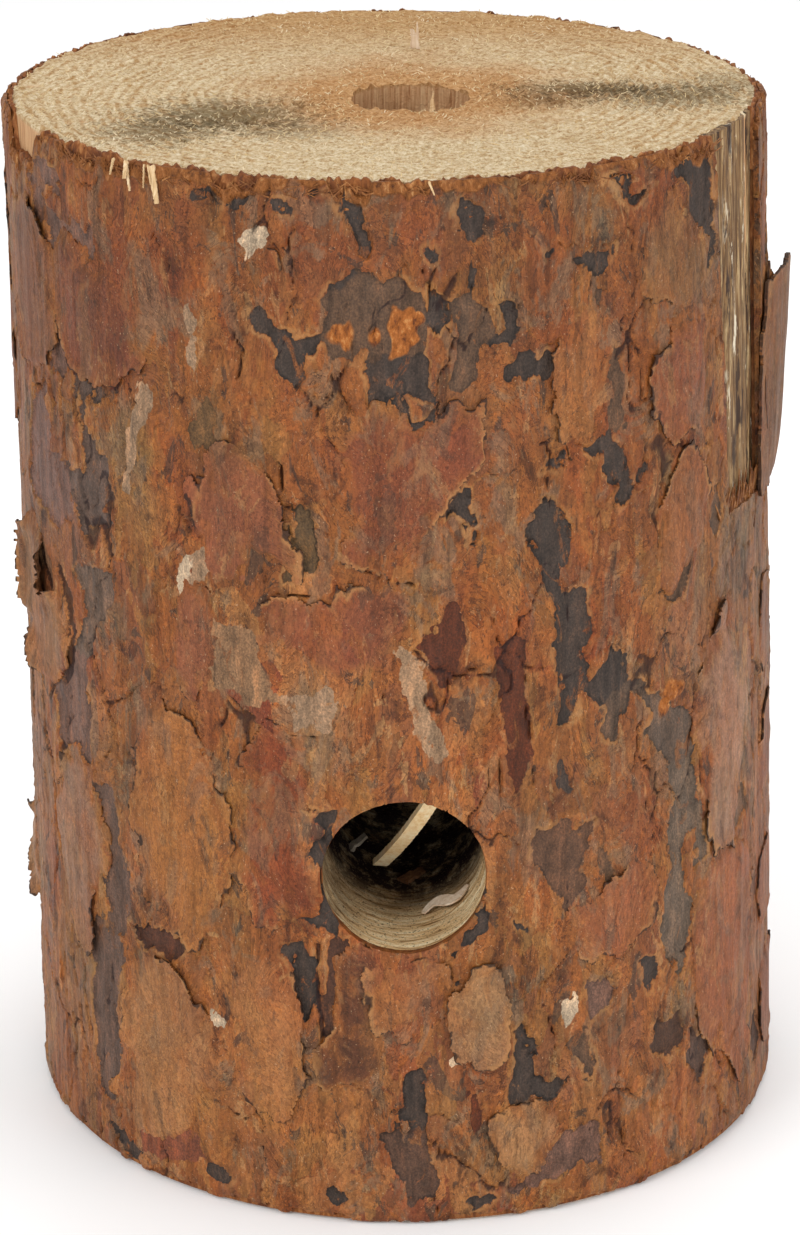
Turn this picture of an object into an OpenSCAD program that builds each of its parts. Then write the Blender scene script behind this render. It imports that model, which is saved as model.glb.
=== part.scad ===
// Drilled log: a bark-on log section with a chimney bore from the top that
// meets a draught bore from the front. Millimetres, +Z up, front faces -Y.
// The origin is the centre of the sawn base.

/* [Log] */
// height between the two sawn faces
log_h = 200; // [160:1:300]
// radius of the bare wood at the base
base_r = 71.9; // [55:0.1:120]
// radius of the bare wood at the top
top_r = 68.9; // [50:0.1:115]
// lean of the trunk towards -X between the level cuts, degrees
lean = 1.2; // [0:0.1:3]

/* [Bark] */
// thickness of the fibrous inner bark
inner_bark_t = 0.9; // [0.5:0.1:3]
// thickness of the outer bark
outer_bark_t = 1.2; // [0.6:0.1:4]
// thickness of a loose bark scale
scale_t = 0.5; // [0.3:0.1:1.5]
// drop of the outer bark's torn edge below the sawn top
rim_drop = 0.8; // [0:0.1:4]
// how far a scale's outline is broken back, as a share of its half width
rag = 0.16; // [0.02:0.01:0.3]

/* [Bores] */
// diameter of the vertical chimney bore
chimney_d = 22; // [12:0.5:34]
// place of the chimney bore across the log
chimney_x = 0.8; // [-10:0.1:10]
// place of the chimney bore front to back
chimney_y = -7; // [-15:0.1:15]
// diameter of the front draught bore
draught_d = 30; // [22:0.5:44]
// place of the draught bore across the log
draught_x = -0.9; // [-8:0.1:8]
// height of the draught bore's centre above the base
draught_z = 71; // [50:0.5:110]
// how far the draught bore runs on behind the chimney bore
draught_past = 2; // [1:0.5:20]

/* [Bare strip] */
// left edge of the strip that has lost its bark, degrees right of front
strip_a0 = 57; // [50:1:62]
// width of the strip round the log, degrees
strip_span = 14; // [6:1:16]
// length of the strip down from the top
strip_len = 72.5; // [40:0.5:110]
// height of the torn fibres left at the foot of the strip
tuft_h = 6; // [2:0.5:12]

/* [Bark flap] */
// left edge of the peeling flap, degrees right of front
flap_a0 = 72; // [72:1:80]
// width of the flap round the log, degrees
flap_span = 25; // [10:1:26]
// length of the flap
flap_len = 43; // [20:1:60]
// distance from the sawn top to the flap's upper edge
flap_from_top = 33; // [20:1:60]
// gap between the log and the flap's upper edge
flap_standoff = 4.7; // [2:0.1:12]
// height of the flap's root that still lies on the log
flap_root = 4; // [2:0.5:10]
// thickness of the second layer inside the flap
flap_inner_t = 0.8; // [0.4:0.1:2]
// how far the second layer stands above the flap
flap_prong = 3; // [0:0.5:10]

/* [Loose pieces] */
// width of the kindling stick
stick_w = 3; // [1.5:0.1:6]
// thickness of the kindling stick
stick_t = 1.2; // [0.6:0.1:3]
// radius of the stick's slight bow
stick_bow_r = 150; // [80:5:600]
// clearance between the stick and the draught bore
stick_clear = 0.4; // [0.3:0.1:2]
// thickness of shavings and splinters
sliver_t = 0.6; // [0.3:0.1:1.5]
// length of the longest splinter that hangs over the rim
splinter_l = 6.5; // [3:0.5:15]

/* [Hidden] */
$fn = 96;
e = 12;                      // overrun of a cutter past what it cuts
seat = 0.05;                 // gap between two layers that lie on each other
chimney_r = chimney_d / 2;
draught_r = draught_d / 2;
draught_end = chimney_y + chimney_r + draught_past;
inner_r0 = seat;                              // layers as offsets from the wood
inner_r1 = inner_bark_t;
outer_r0 = inner_r1 + seat;
outer_r1 = outer_r0 + outer_bark_t;
scale_r0 = outer_r1 + seat;
bark_lift = 0.4;             // the bark's torn lower edge stands off the ground
strip_a1 = strip_a0 + strip_span;
strip_z = log_h - strip_len;
flap_z1 = log_h - flap_from_top;
flap_z0 = flap_z1 - flap_len;
flap_slope = flap_standoff / (flap_len - flap_root);
chip_a0 = 0.2;                  // loose chip just below the draught bore
chip_a1 = 1.8;
chip_z0 = draught_z - draught_r - 3.6;
chip_z1 = draught_z - draught_r - 1;
chip_gap = 0.3;                 // bark round the chip stays this far off it

sapwood = [0.80, 0.68, 0.50];
bast = [0.55, 0.34, 0.18];
orange_bark = [0.54, 0.33, 0.20];
ochre_bark = [0.58, 0.42, 0.27];
maroon_bark = [0.48, 0.28, 0.21];
grey_bark = [0.55, 0.46, 0.40];
dark_bark = [0.30, 0.23, 0.19];
pale_wood = [0.84, 0.76, 0.64];

// wood radius at a height on the trunk's own axis
function wood_r(z) = base_r + (top_r - base_r) * z / log_h;

// the trunk's own frame, which leans between the level cuts
module trunk() rotate([0, -lean, 0]) children();

// solid cone that lies a given distance outside the wood
module trunk_cone(off) trunk()
  translate([0, 0, -e])
    cylinder(h = log_h + 2 * e, r1 = wood_r(-e) + off, r2 = wood_r(log_h + e) + off);

// everything between two levels
module level(z0, z1) translate([-2 * base_r, -2 * base_r, z0])
  cube([4 * base_r, 4 * base_r, z1 - z0]);

module chimney_bore() translate([chimney_x, chimney_y, draught_z])
  cylinder(h = log_h, r = chimney_r);

module draught_bore() translate([draught_x, draught_end, draught_z])
  rotate([90, 0, 0]) cylinder(h = 2 * base_r, r = draught_r);

// prism that runs outwards at an angle a right of front; its outline is in
// the wall's own plane, x round the log and y up it, from a height z
module outward(a, z) rotate([0, 0, a]) translate([0, 0, z])
  rotate([90, 0, 0]) linear_extrude(height = base_r + 4 * e) children();

// the bare strip, from its foot to past the top
module strip_cut() trunk()
  rotate([0, 0, strip_a0 - 90]) translate([0, 0, strip_z])
    linear_extrude(height = strip_len + 2 * e)
      polygon([[0, 0], [2 * base_r, 0],
               [2 * base_r * cos(strip_span), 2 * base_r * sin(strip_span)]]);

// closed outline in a box w by h, full in the corners and broken at its edge
function ragged(w, h, n, seed) =
  let (k = rands(0, 1, n, seed))
  [for (i = [0 : n - 1])
    let (t = 360 * i / n, c = cos(t), s = sin(t), q = 1 - rag * k[i])
    [w / 2 * sign(c) * pow(abs(c), 0.55) * q, h / 2 * sign(s) * pow(abs(s), 0.55) * q]];

// one bark scale between two angles and two shares of the log's height
module scale(a0, a1, u0, u1, seed, t = scale_t) {
  a = (a0 + a1) / 2;
  z = (u0 + u1) / 2 * log_h;
  h = (u1 - u0) * log_h;
  w = 2 * wood_r(z) * sin((a1 - a0) / 2);
  difference() {
    intersection() {
      trunk_cone(scale_r0 + t);
      trunk() outward(a, z) polygon(ragged(w, h, 18, seed));
    }
    trunk_cone(scale_r0);
    draught_bore();
    strip_cut();
  }
}

// a staggered field of scales, rows up and columns round, for one node
module scale_field(a0, a1, u0, u1, cols, rows, seed) {
  da = (a1 - a0) / cols;
  du = (u1 - u0) / rows;
  k = rands(0, 1, 2 * cols * rows, seed);
  for (i = [0 : cols - 1], j = [0 : rows - 1]) {
    m = 2 * (i * rows + j);
    scale(a0 + da * (i + 0.04 + 0.12 * k[m]), a0 + da * (i + 0.96),
          u0 + du * (j + 0.04 + 0.1 * k[m + 1]), u0 + du * (j + 0.96), seed + m + 1);
  }
}

// pointed splinter that stands upright on the sawn face
module upright_splinter(w, h) translate([0, sliver_t / 2, log_h + seat])
  rotate([90, 0, 0]) linear_extrude(height = sliver_t)
    polygon([[-w / 2, 0], [w / 2, 0], [w * 0.45, h * 0.5], [w * 0.3, h],
             [-w * 0.05, h * 0.6], [-w / 2, h * 0.75]]);

// place on the rim: angle right of front, distance in from the wood's edge
module at_rim(a, inset, z) translate([-log_h * sin(lean), 0, z])
  rotate([0, 0, a]) translate([0, -(top_r - inset), 0]) children();

module wood_core() color(sapwood) difference() {
  intersection() {
    trunk_cone(0);
    level(0, log_h);
  }
  chimney_bore();
  draught_bore();
}

module bark_layer(r0, r1, drop) difference() {
  intersection() {
    trunk_cone(r1);
    level(bark_lift, log_h - drop);
  }
  trunk_cone(r0);
  draught_bore();
  strip_cut();
}

module inner_bark() color(bast) bark_layer(inner_r0, inner_r1, rim_drop / 2);
module outer_bark() color(orange_bark) bark_layer(outer_r0, outer_r1, rim_drop);

// torn bark fibres that stand up from the foot of the bare strip
module strip_fibres() color(bast) {
  a = (strip_a0 + strip_a1) / 2;
  w = 2 * wood_r(strip_z) * sin(strip_span / 2) - 1.2;
  n = 7;
  difference() {
    intersection() {
      trunk_cone(inner_r1);
      trunk() outward(a, strip_z + seat)
        polygon(concat([[w / 2, 0], [-w / 2, 0]],
          [for (i = [0 : 2 * n]) [w * (i / (2 * n) - 0.5),
            tuft_h * (i % 2 == 0 ? 0.3 : 0.65 + 0.35 * cos(170 * i))]]));
    }
    trunk_cone(inner_r0);
  }
}

// ring that lies on the bark at its root and leaves it further up
module flare(z0, z1, in0, in1, t) {
  r0 = wood_r(z0) + scale_r0;
  r1 = wood_r(z1) + scale_r0;
  zr = z0 + flap_root;
  rr = wood_r(zr) + scale_r0;
  trunk() rotate_extrude()
    polygon([[r0 + in0, z0], [r0 + in0 + t, z0], [rr + in0 + t, zr],
             [r1 + in1 + t, z1], [r1 + in1, z1], [rr + in0, zr]]);
}

module flap_outer() color(orange_bark) intersection() {
  flare(flap_z0, flap_z1, 0, flap_standoff, outer_bark_t);
  trunk() outward(flap_a0 + flap_span / 2, (flap_z0 + flap_z1) / 2)
    polygon(ragged(2 * wood_r(flap_z0) * sin(flap_span / 2), flap_len, 22, 31));
}

// second layer: it starts where the flap has cleared the log by two gaps
module flap_inner() color(dark_bark) {
  start = flap_z0 + flap_root + (flap_inner_t + 4 * seat) / flap_slope;
  top = flap_z1 + flap_prong;
  a = flap_a0 + flap_span * 0.4;
  w = 2 * wood_r(flap_z0) * sin(flap_span * 0.3);
  intersection() {
    trunk() rotate_extrude()
      polygon([for (p = [[start, 0], [start, 1], [top, 1], [top, 0]])
        let (out = flap_slope * (p[0] - flap_z0 - flap_root) - seat)
        [wood_r(p[0]) + scale_r0 + out - flap_inner_t * (1 - p[1]), p[0]]]);
    trunk() outward(a, (start + top) / 2)
      polygon([[-w / 2, start - top], [w * 0.42, start - top], [w / 2, 0], [w * 0.3, 6],
               [w * 0.15, top - start], [-w * 0.05, top - start], [-w * 0.3, 9],
               [-w / 2, 2]] / 2);
  }
}

// the stick leans across the draught bore, from its floor to its roof
stick_reach = draught_r - stick_clear - stick_w * 0.55;
stick_foot = [draught_x + stick_reach * cos(249), -(base_r - 30), draught_z + stick_reach * sin(249)];
stick_head = [draught_x + stick_reach * cos(64), -(base_r - 8), draught_z + stick_reach * sin(64)];

module kindling_stick() color(pale_wood) {
  d = stick_head - stick_foot;
  len = norm(d);
  translate((stick_foot + stick_head) / 2)
    rotate([0, -asin(d[2] / len), atan2(d[1], d[0])])
      rotate([75, 0, 0]) translate([0, stick_bow_r, 0])
        intersection() {
          difference() {
            cylinder(h = stick_w, r = stick_bow_r + stick_t / 2, center = true);
            cylinder(h = stick_w + 2, r = stick_bow_r - stick_t / 2, center = true);
          }
          translate([-len / 2, -stick_bow_r - e, -stick_w]) cube([len, 2 * e, 2 * stick_w]);
        }
}

// things on the draught bore's wall: an angle round it and a distance inside
module on_bore_wall(a, y) translate([draught_x, y, draught_z]) rotate([0, -a, 0])
  translate([draught_r - seat, 0, 0]) children();

module bore_shaving() color(pale_wood) {
  r = draught_r - seat;
  translate([draught_x, -(base_r - 15), draught_z]) rotate([90, 0, 0])
    intersection() {
      difference() {
        cylinder(h = 2.4, r = r);
        translate([0, 0, -1]) cylinder(h = 5, r = r - sliver_t);
      }
      linear_extrude(height = 2.4)
        polygon([[0, 0], [r * 1.4 * cos(-77), r * 1.4 * sin(-77)],
                 [r * 1.6 * cos(-56), r * 1.6 * sin(-56)],
                 [r * 1.4 * cos(-36), r * 1.4 * sin(-36)]]);
    }
}

module wall_piece(a, y, l, w, h) {
  sag = draught_r - sqrt(pow(draught_r, 2) - pow(w / 2, 2));
  on_bore_wall(a, y) translate([-sag - h, 0, 0]) rotate([90, 0, 90])
    linear_extrude(height = h) polygon(ragged(l, w, 10, 7) );
}

module bore_chip() color(grey_bark) wall_piece(228, -(base_r - 37), 3, 6, 0.8);
module bore_fragment() color(bast) wall_piece(277, -(base_r - 31), 5, 4, 1.1);
module bore_rim_chip() color(maroon_bark)
  scale(chip_a0, chip_a1, chip_z0 / log_h, chip_z1 / log_h, 5);

// splinters that hang over the rim, their upper ends lying on the sawn face
module hanging_splinter(a, len, w, tilt) at_rim(a, -inner_r1 - outer_bark_t, log_h) {
  drop = scale_t + 2 * seat;
  translate([0, 0, seat]) {
    translate([-w / 2, -drop - sliver_t, 0]) cube([w, 3 + drop + sliver_t, sliver_t]);
    translate([0, -drop, 0]) rotate([90, 0, 0]) linear_extrude(height = sliver_t)
      polygon([[-w / 2, sliver_t], [w / 2, sliver_t], [w * 0.1 + len * sin(tilt), -len],
               [len * sin(tilt) - w * 0.1, -len]]);
  }
}

module rim_splinter_long() color(pale_wood) hanging_splinter(-34, splinter_l, 1.5, 6);
module rim_splinter_curved() color(pale_wood) hanging_splinter(-35.9, splinter_l * 0.8, 0.5, 4);
module rim_splinter_knobbed() color(pale_wood) hanging_splinter(-39, splinter_l, 1, 10);
module rim_splinter_short() color(pale_wood) hanging_splinter(-42.8, splinter_l * 0.6, 0.7, -2);
module rim_splinter_front() color(pale_wood) hanging_splinter(6.6, splinter_l * 0.4, 0.8, -10);

// slivers torn up from the sawn face, behind the bore and at its front edge
module face_splinter() color(pale_wood)
  translate([chimney_x + 1, chimney_y + chimney_r + 29, 0]) upright_splinter(1.6, 4.2);
module chimney_splinter() color(pale_wood)
  translate([chimney_x + chimney_r * 0.36, chimney_y - chimney_r - 0.9, 0])
    upright_splinter(0.9, 2.8);

module scale_maroon_centre() color(maroon_bark) scale(-8, 15, 0.665, 0.80, 11);
module scale_maroon_lobed() color(maroon_bark) scale(-31, -13, 0.625, 0.765, 12);
module scale_maroon_low() color(maroon_bark) scale(-20, -1, 0.535, 0.618, 13);
module scale_maroon_narrow() color(maroon_bark) scale(-33, -27, 0.505, 0.618, 14);
module scale_beside_bore() color(maroon_bark) scale(-24, -12, 0.30, 0.485, 15);
module scale_round_top() color(ochre_bark) scale(-42, -25.5, 0.26, 0.49, 16);
module scale_upper_left() color(maroon_bark) scale(-57, -38, 0.785, 0.915, 17);
module scale_far_left() color(orange_bark) scale(-75, -58, 0.76, 0.915, 18);
module scale_grey_left() color(grey_bark) scale(-65, -50, 0.235, 0.415, 19);
module scale_lifting() color(ochre_bark) scale(-77, -57, 0.465, 0.615, 20, 2.4 * scale_t);
module scale_low_left() color(ochre_bark) scale(-47, -28, 0.035, 0.245, 21);
module scale_low_mid() color(ochre_bark) scale(-27, -14, 0.09, 0.265, 22);
module scale_dark_wedge() color(dark_bark) scale(-13, -5, 0.14, 0.275, 23);
// kept clear of the chip below the bore
module scale_under_bore() color(ochre_bark) difference() {
  w = wood_r(chip_z0) * sin((chip_a1 - chip_a0) / 2) + chip_gap;
  h = (chip_z1 - chip_z0) / 2 + chip_gap;
  scale(-4, 4, 0.17, 0.258, 24);
  trunk() outward((chip_a0 + chip_a1) / 2, (chip_z0 + chip_z1) / 2)
    polygon([[-w, -h], [w, -h], [w, h], [-w, h]]);
}
module scale_right_of_bore() color(ochre_bark) scale(7, 16, 0.165, 0.275, 25);
module scale_foot() color(ochre_bark) scale(12, 23, 0.04, 0.12, 26);
module scale_orange_right() color(orange_bark) scale(25, 41, 0.25, 0.335, 27);
module scale_pointed() color(grey_bark) scale(49, 67, 0.32, 0.56, 28);
module scale_orange_tall() color(orange_bark) scale(49, 66, 0.06, 0.31, 29);
module scale_leaf() color(ochre_bark) scale(39, 53, 0.845, 0.975, 30);
module scale_upper_right() color(maroon_bark) scale(39, 55, 0.745, 0.835, 31);
module scale_mid_right() color(orange_bark) scale(41, 55.5, 0.61, 0.715, 32);
module scale_tall_right() color(orange_bark) scale(23.5, 31, 0.74, 0.90, 33);
module scale_oval() color(orange_bark) scale(-18.7, -15.3, 0.90, 0.94, 34);
module scale_edge_left() color(grey_bark) scale(-91, -80, 0.20, 0.28, 35, 3 * scale_t);

module scales_right_low() color(orange_bark) scale_field(70, 108, 0.04, 0.28, 2, 2, 101);
module scales_right_mid() color(ochre_bark) scale_field(71, 109, 0.30, 0.56, 2, 2, 121);
module scales_right_high() color(maroon_bark) scale_field(102, 122, 0.62, 0.95, 1, 2, 141);
module scales_back_right_low() color(ochre_bark) scale_field(110, 156, 0.04, 0.31, 2, 1, 161);
module scales_back_right_mid() color(grey_bark) scale_field(112, 158, 0.34, 0.58, 2, 1, 181);
module scales_back_right_high() color(orange_bark) scale_field(126, 164, 0.62, 0.96, 2, 1, 201);
module scales_back_low() color(maroon_bark) scale_field(158, 202, 0.05, 0.33, 2, 1, 221);
module scales_back_mid() color(orange_bark) scale_field(161, 206, 0.36, 0.59, 2, 2, 241);
module scales_back_high() color(ochre_bark) scale_field(167, 208, 0.63, 0.95, 2, 1, 261);
module scales_left_low() color(orange_bark) scale_field(206, 265, 0.04, 0.19, 3, 1, 281);
module scales_left_mid() color(maroon_bark) scale_field(209, 264, 0.30, 0.58, 3, 1, 301);
module scales_left_high() color(grey_bark) scale_field(212, 282, 0.64, 0.96, 3, 1, 321);

wood_core();
inner_bark();
outer_bark();
strip_fibres();
flap_outer();
flap_inner();
kindling_stick();
bore_shaving();
bore_chip();
bore_fragment();
bore_rim_chip();
rim_splinter_long();
rim_splinter_curved();
rim_splinter_knobbed();
rim_splinter_short();
rim_splinter_front();
face_splinter();
chimney_splinter();
scale_maroon_centre();
scale_maroon_lobed();
scale_maroon_low();
scale_maroon_narrow();
scale_beside_bore();
scale_round_top();
scale_upper_left();
scale_far_left();
scale_grey_left();
scale_lifting();
scale_low_left();
scale_low_mid();
scale_dark_wedge();
scale_under_bore();
scale_right_of_bore();
scale_foot();
scale_orange_right();
scale_pointed();
scale_orange_tall();
scale_leaf();
scale_upper_right();
scale_mid_right();
scale_tall_right();
scale_oval();
scale_edge_left();
scales_right_low();
scales_right_mid();
scales_right_high();
scales_back_right_low();
scales_back_right_mid();
scales_back_right_high();
scales_back_low();
scales_back_mid();
scales_back_high();
scales_left_low();
scales_left_mid();
scales_left_high();
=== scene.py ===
"""Looks of a drilled log: bark in layers, sawn ends, two bores and the loose pieces.

Lengths are in millimetres until a mesh is made. The trunk leans a little, so a
point at angle a (degrees right of front), height z and radius r lies at
x = r sin a - z tan(lean), y = -r cos a.
"""
import bpy
import numpy as np
from mathutils import Euler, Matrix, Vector


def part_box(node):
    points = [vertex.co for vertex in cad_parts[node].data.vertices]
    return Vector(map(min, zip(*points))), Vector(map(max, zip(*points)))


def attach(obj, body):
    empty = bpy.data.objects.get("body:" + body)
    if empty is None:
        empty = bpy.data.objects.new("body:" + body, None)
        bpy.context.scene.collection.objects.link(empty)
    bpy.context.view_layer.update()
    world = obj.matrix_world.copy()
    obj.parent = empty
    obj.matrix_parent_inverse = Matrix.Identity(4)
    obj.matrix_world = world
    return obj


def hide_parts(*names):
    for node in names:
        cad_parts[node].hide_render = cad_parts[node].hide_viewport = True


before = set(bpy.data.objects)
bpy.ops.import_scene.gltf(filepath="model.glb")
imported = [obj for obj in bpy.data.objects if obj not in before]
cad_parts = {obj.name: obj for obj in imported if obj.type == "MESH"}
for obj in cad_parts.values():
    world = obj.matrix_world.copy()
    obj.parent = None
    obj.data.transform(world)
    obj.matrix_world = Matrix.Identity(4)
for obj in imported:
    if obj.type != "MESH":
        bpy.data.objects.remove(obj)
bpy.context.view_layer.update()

MM = 0.001
LOG_H = 200.0
BASE_R, TOP_R = 71.9, 68.9              # bare wood
LEAN = np.tan(np.radians(1.2))
ARC = np.radians(1.0) * 74.0            # one degree round the bark
CHIMNEY_X, CHIMNEY_Y, CHIMNEY_R = 0.8, -7.0, 11.0
DRAUGHT_X, DRAUGHT_Z, DRAUGHT_R = -0.9, 71.0, 15.0
DRAUGHT_END = 6.0
BARK_LIFT, RIM_DROP = 0.4, 0.8          # outer bark's lower and upper edges
BARK_IN, BARK_OUT = 1.0, 2.15           # its two sides, out from the wood
STRIP_A0, STRIP_A1, STRIP_Z = 57.0, 74.0, 127.5
DIP = 6.5                               # depth of the dip in the bark's top edge
FINE, COARSE = 0.55, 0.95               # grid spacings, seen and unseen side
STICK_WIDE, STICK_DEEP = 3.0, 1.2       # the kindling stick's section at most
TUFT_FIBRES, RIM_FIBRES, FACE_CRUMBS = 70, 1300, 4200


# ---------------------------------------------------------------- noise fields
def lattice(u, v, seed, wrap=None):
    """Random heights on a unit lattice, joined by 6t^5 - 15t^4 + 10t^3; u repeats after wrap."""
    width = wrap or 256
    table = np.random.default_rng(seed).random((256, width))
    iu, iv = np.floor(u).astype(np.int64), np.floor(v).astype(np.int64)
    fu, fv = u - iu, v - iv
    fu = fu * fu * fu * (fu * (fu * 6 - 15) + 10)
    fv = fv * fv * fv * (fv * (fv * 6 - 15) + 10)
    i0, i1, j0, j1 = iu % width, (iu + 1) % width, iv % 256, (iv + 1) % 256
    low = table[j0, i0] * (1 - fu) + table[j0, i1] * fu
    high = table[j1, i0] * (1 - fu) + table[j1, i1] * fu
    return low * (1 - fv) + high * fv


def layered(u, v, seed, octaves=4, wrap=None, gain=0.5):
    """Sum of lattices, each twice as fine and gain as strong as the last, spread to fill 0 to 1."""
    total, amp, norm = 0.0, 1.0, 0.0
    for k in range(octaves):
        total = total + amp * lattice(u * 2**k, v * 2**k, seed + k, wrap and wrap * 2**k)
        norm, amp = norm + amp, amp * gain
    return np.clip((total / norm - 0.5) * 1.7 + 0.5, 0, 1)


def ring(a, z, across, tall, seed, octaves=4, gain=0.5):
    """Layered noise on the trunk's skin, grains across by tall mm, with no seam at the back."""
    wrap = int(round(360 * ARC / across))
    return layered(a / 360 * wrap, z / tall, seed, octaves, wrap, gain)


def cells(u, v, seed, wrap=None):
    """Nearest of the jittered lattice centres: its distance, the gap to the next, its own number."""
    width = wrap or 256
    rng = np.random.default_rng(seed)
    jx, jy, own = rng.random((256, width)), rng.random((256, width)), rng.random((256, width))
    iu, iv = np.floor(u).astype(np.int64), np.floor(v).astype(np.int64)
    best, second, number = np.full(u.shape, 9.0), np.full(u.shape, 9.0), np.zeros(u.shape)
    for du in (-1, 0, 1):
        for dv in (-1, 0, 1):
            i, j = (iu + du) % width, (iv + dv) % 256
            dist = np.hypot(iu + du + jx[j, i] - u, iv + dv + jy[j, i] - v)
            nearer = dist < best
            second = np.where(nearer, best, np.minimum(second, dist))
            number = np.where(nearer, own[j, i], number)
            best = np.where(nearer, dist, best)
    return best, second - best, number


def ring_cells(a, z, across, tall, seed):
    """Cells on the trunk's skin, across by tall mm."""
    wrap = int(round(360 * ARC / across))
    return cells(a / 360 * wrap, z / tall, seed, wrap)


def step(x, low, high):
    """0 below low, 1 above high, 3t^2 - 2t^3 between."""
    t = np.clip((x - low) / (high - low), 0, 1)
    return t * t * (3 - 2 * t)


def ripple(a, z, across, tall, seed, octaves=4):
    """ring() about zero, from -0.5 to 0.5."""
    return ring(a, z, across, tall, seed, octaves) - 0.5


def from_front(a):
    """The angle brought to -180 to 180 degrees from the front."""
    return (a + 180) % 360 - 180


def evenly(tone, a):
    """One tone's red, green and blue at every grid point."""
    return np.tile(np.array(tone[:3]), a.shape + (1,))


def waver(a, z, seed, slow=4.0, chip=1.4):
    """How far, in mm, a broken bark edge strays: slow waves and angular chips."""
    wave = ripple(a, z, 8, 11, seed, 3)
    chips = ring_cells(a, z, 1.9, 3.2, seed + 5)[2] - 0.5
    small = ripple(a, z, 1.3, 2.2, seed + 9, 2)
    return slow * wave + chip * chips + 0.7 * small


# -------------------------------------------------------------- trunk geometry
def wood_r(z):
    """Radius of the bare wood, straight from base to top."""
    return BASE_R + (TOP_R - BASE_R) * z / LOG_H


def on_trunk(a, z, r):
    """Points at angle a, height z and radius r, in metres."""
    t = np.radians(a)
    return np.stack([r * np.sin(t) - z * LEAN, -r * np.cos(t), z], -1) * MM


def outline_distance(s, z, points):
    """Signed distance to a closed outline, positive inside: the nearest edge, signed by crossings."""
    pts = np.asarray(points, float)
    best, inside = np.full(s.shape, 1e9), np.zeros(s.shape, bool)
    for (x0, y0), (x1, y1) in zip(pts, np.roll(pts, -1, 0)):
        ex, ey = x1 - x0, y1 - y0
        t = np.clip(((s - x0) * ex + (z - y0) * ey) / (ex * ex + ey * ey), 0, 1)
        best = np.minimum(best, np.hypot(s - x0 - t * ex, z - y0 - t * ey))
        if ey:
            inside ^= ((y0 > z) != (y1 > z)) & (s < ex * (z - y0) / ey + x0)
    return np.where(inside, best, -best)


def bore_distance(a, z, r):
    """Distance outside the draught bore's wall, in the plane across it."""
    x = r * np.sin(np.radians(a)) - z * LEAN
    front = np.abs(from_front(a)) < 60
    return np.where(front, np.hypot(x - DRAUGHT_X, z - DRAUGHT_Z) - DRAUGHT_R, 99.0)


def dip(a):
    """1 where a flake has broken off the bark's top edge, left of the front, falling to 0 beside it."""
    return 1 - step(np.abs(from_front(a) + 69), 5, 8)


def behind(a):
    """How much lower, in mm, the torn bark ends on the far half of the rim."""
    return 0.6 * step(np.abs(from_front(a)), 84, 100)


def strip_distance(a, z):
    """Distance outside the bare strip, whose left edge drifts right towards its foot."""
    left = STRIP_A0 - 1 + 4 * (LOG_H - z) / (LOG_H - STRIP_Z)
    return np.maximum(np.maximum(left - a, a - STRIP_A1) * ARC, STRIP_Z - z)


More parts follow.
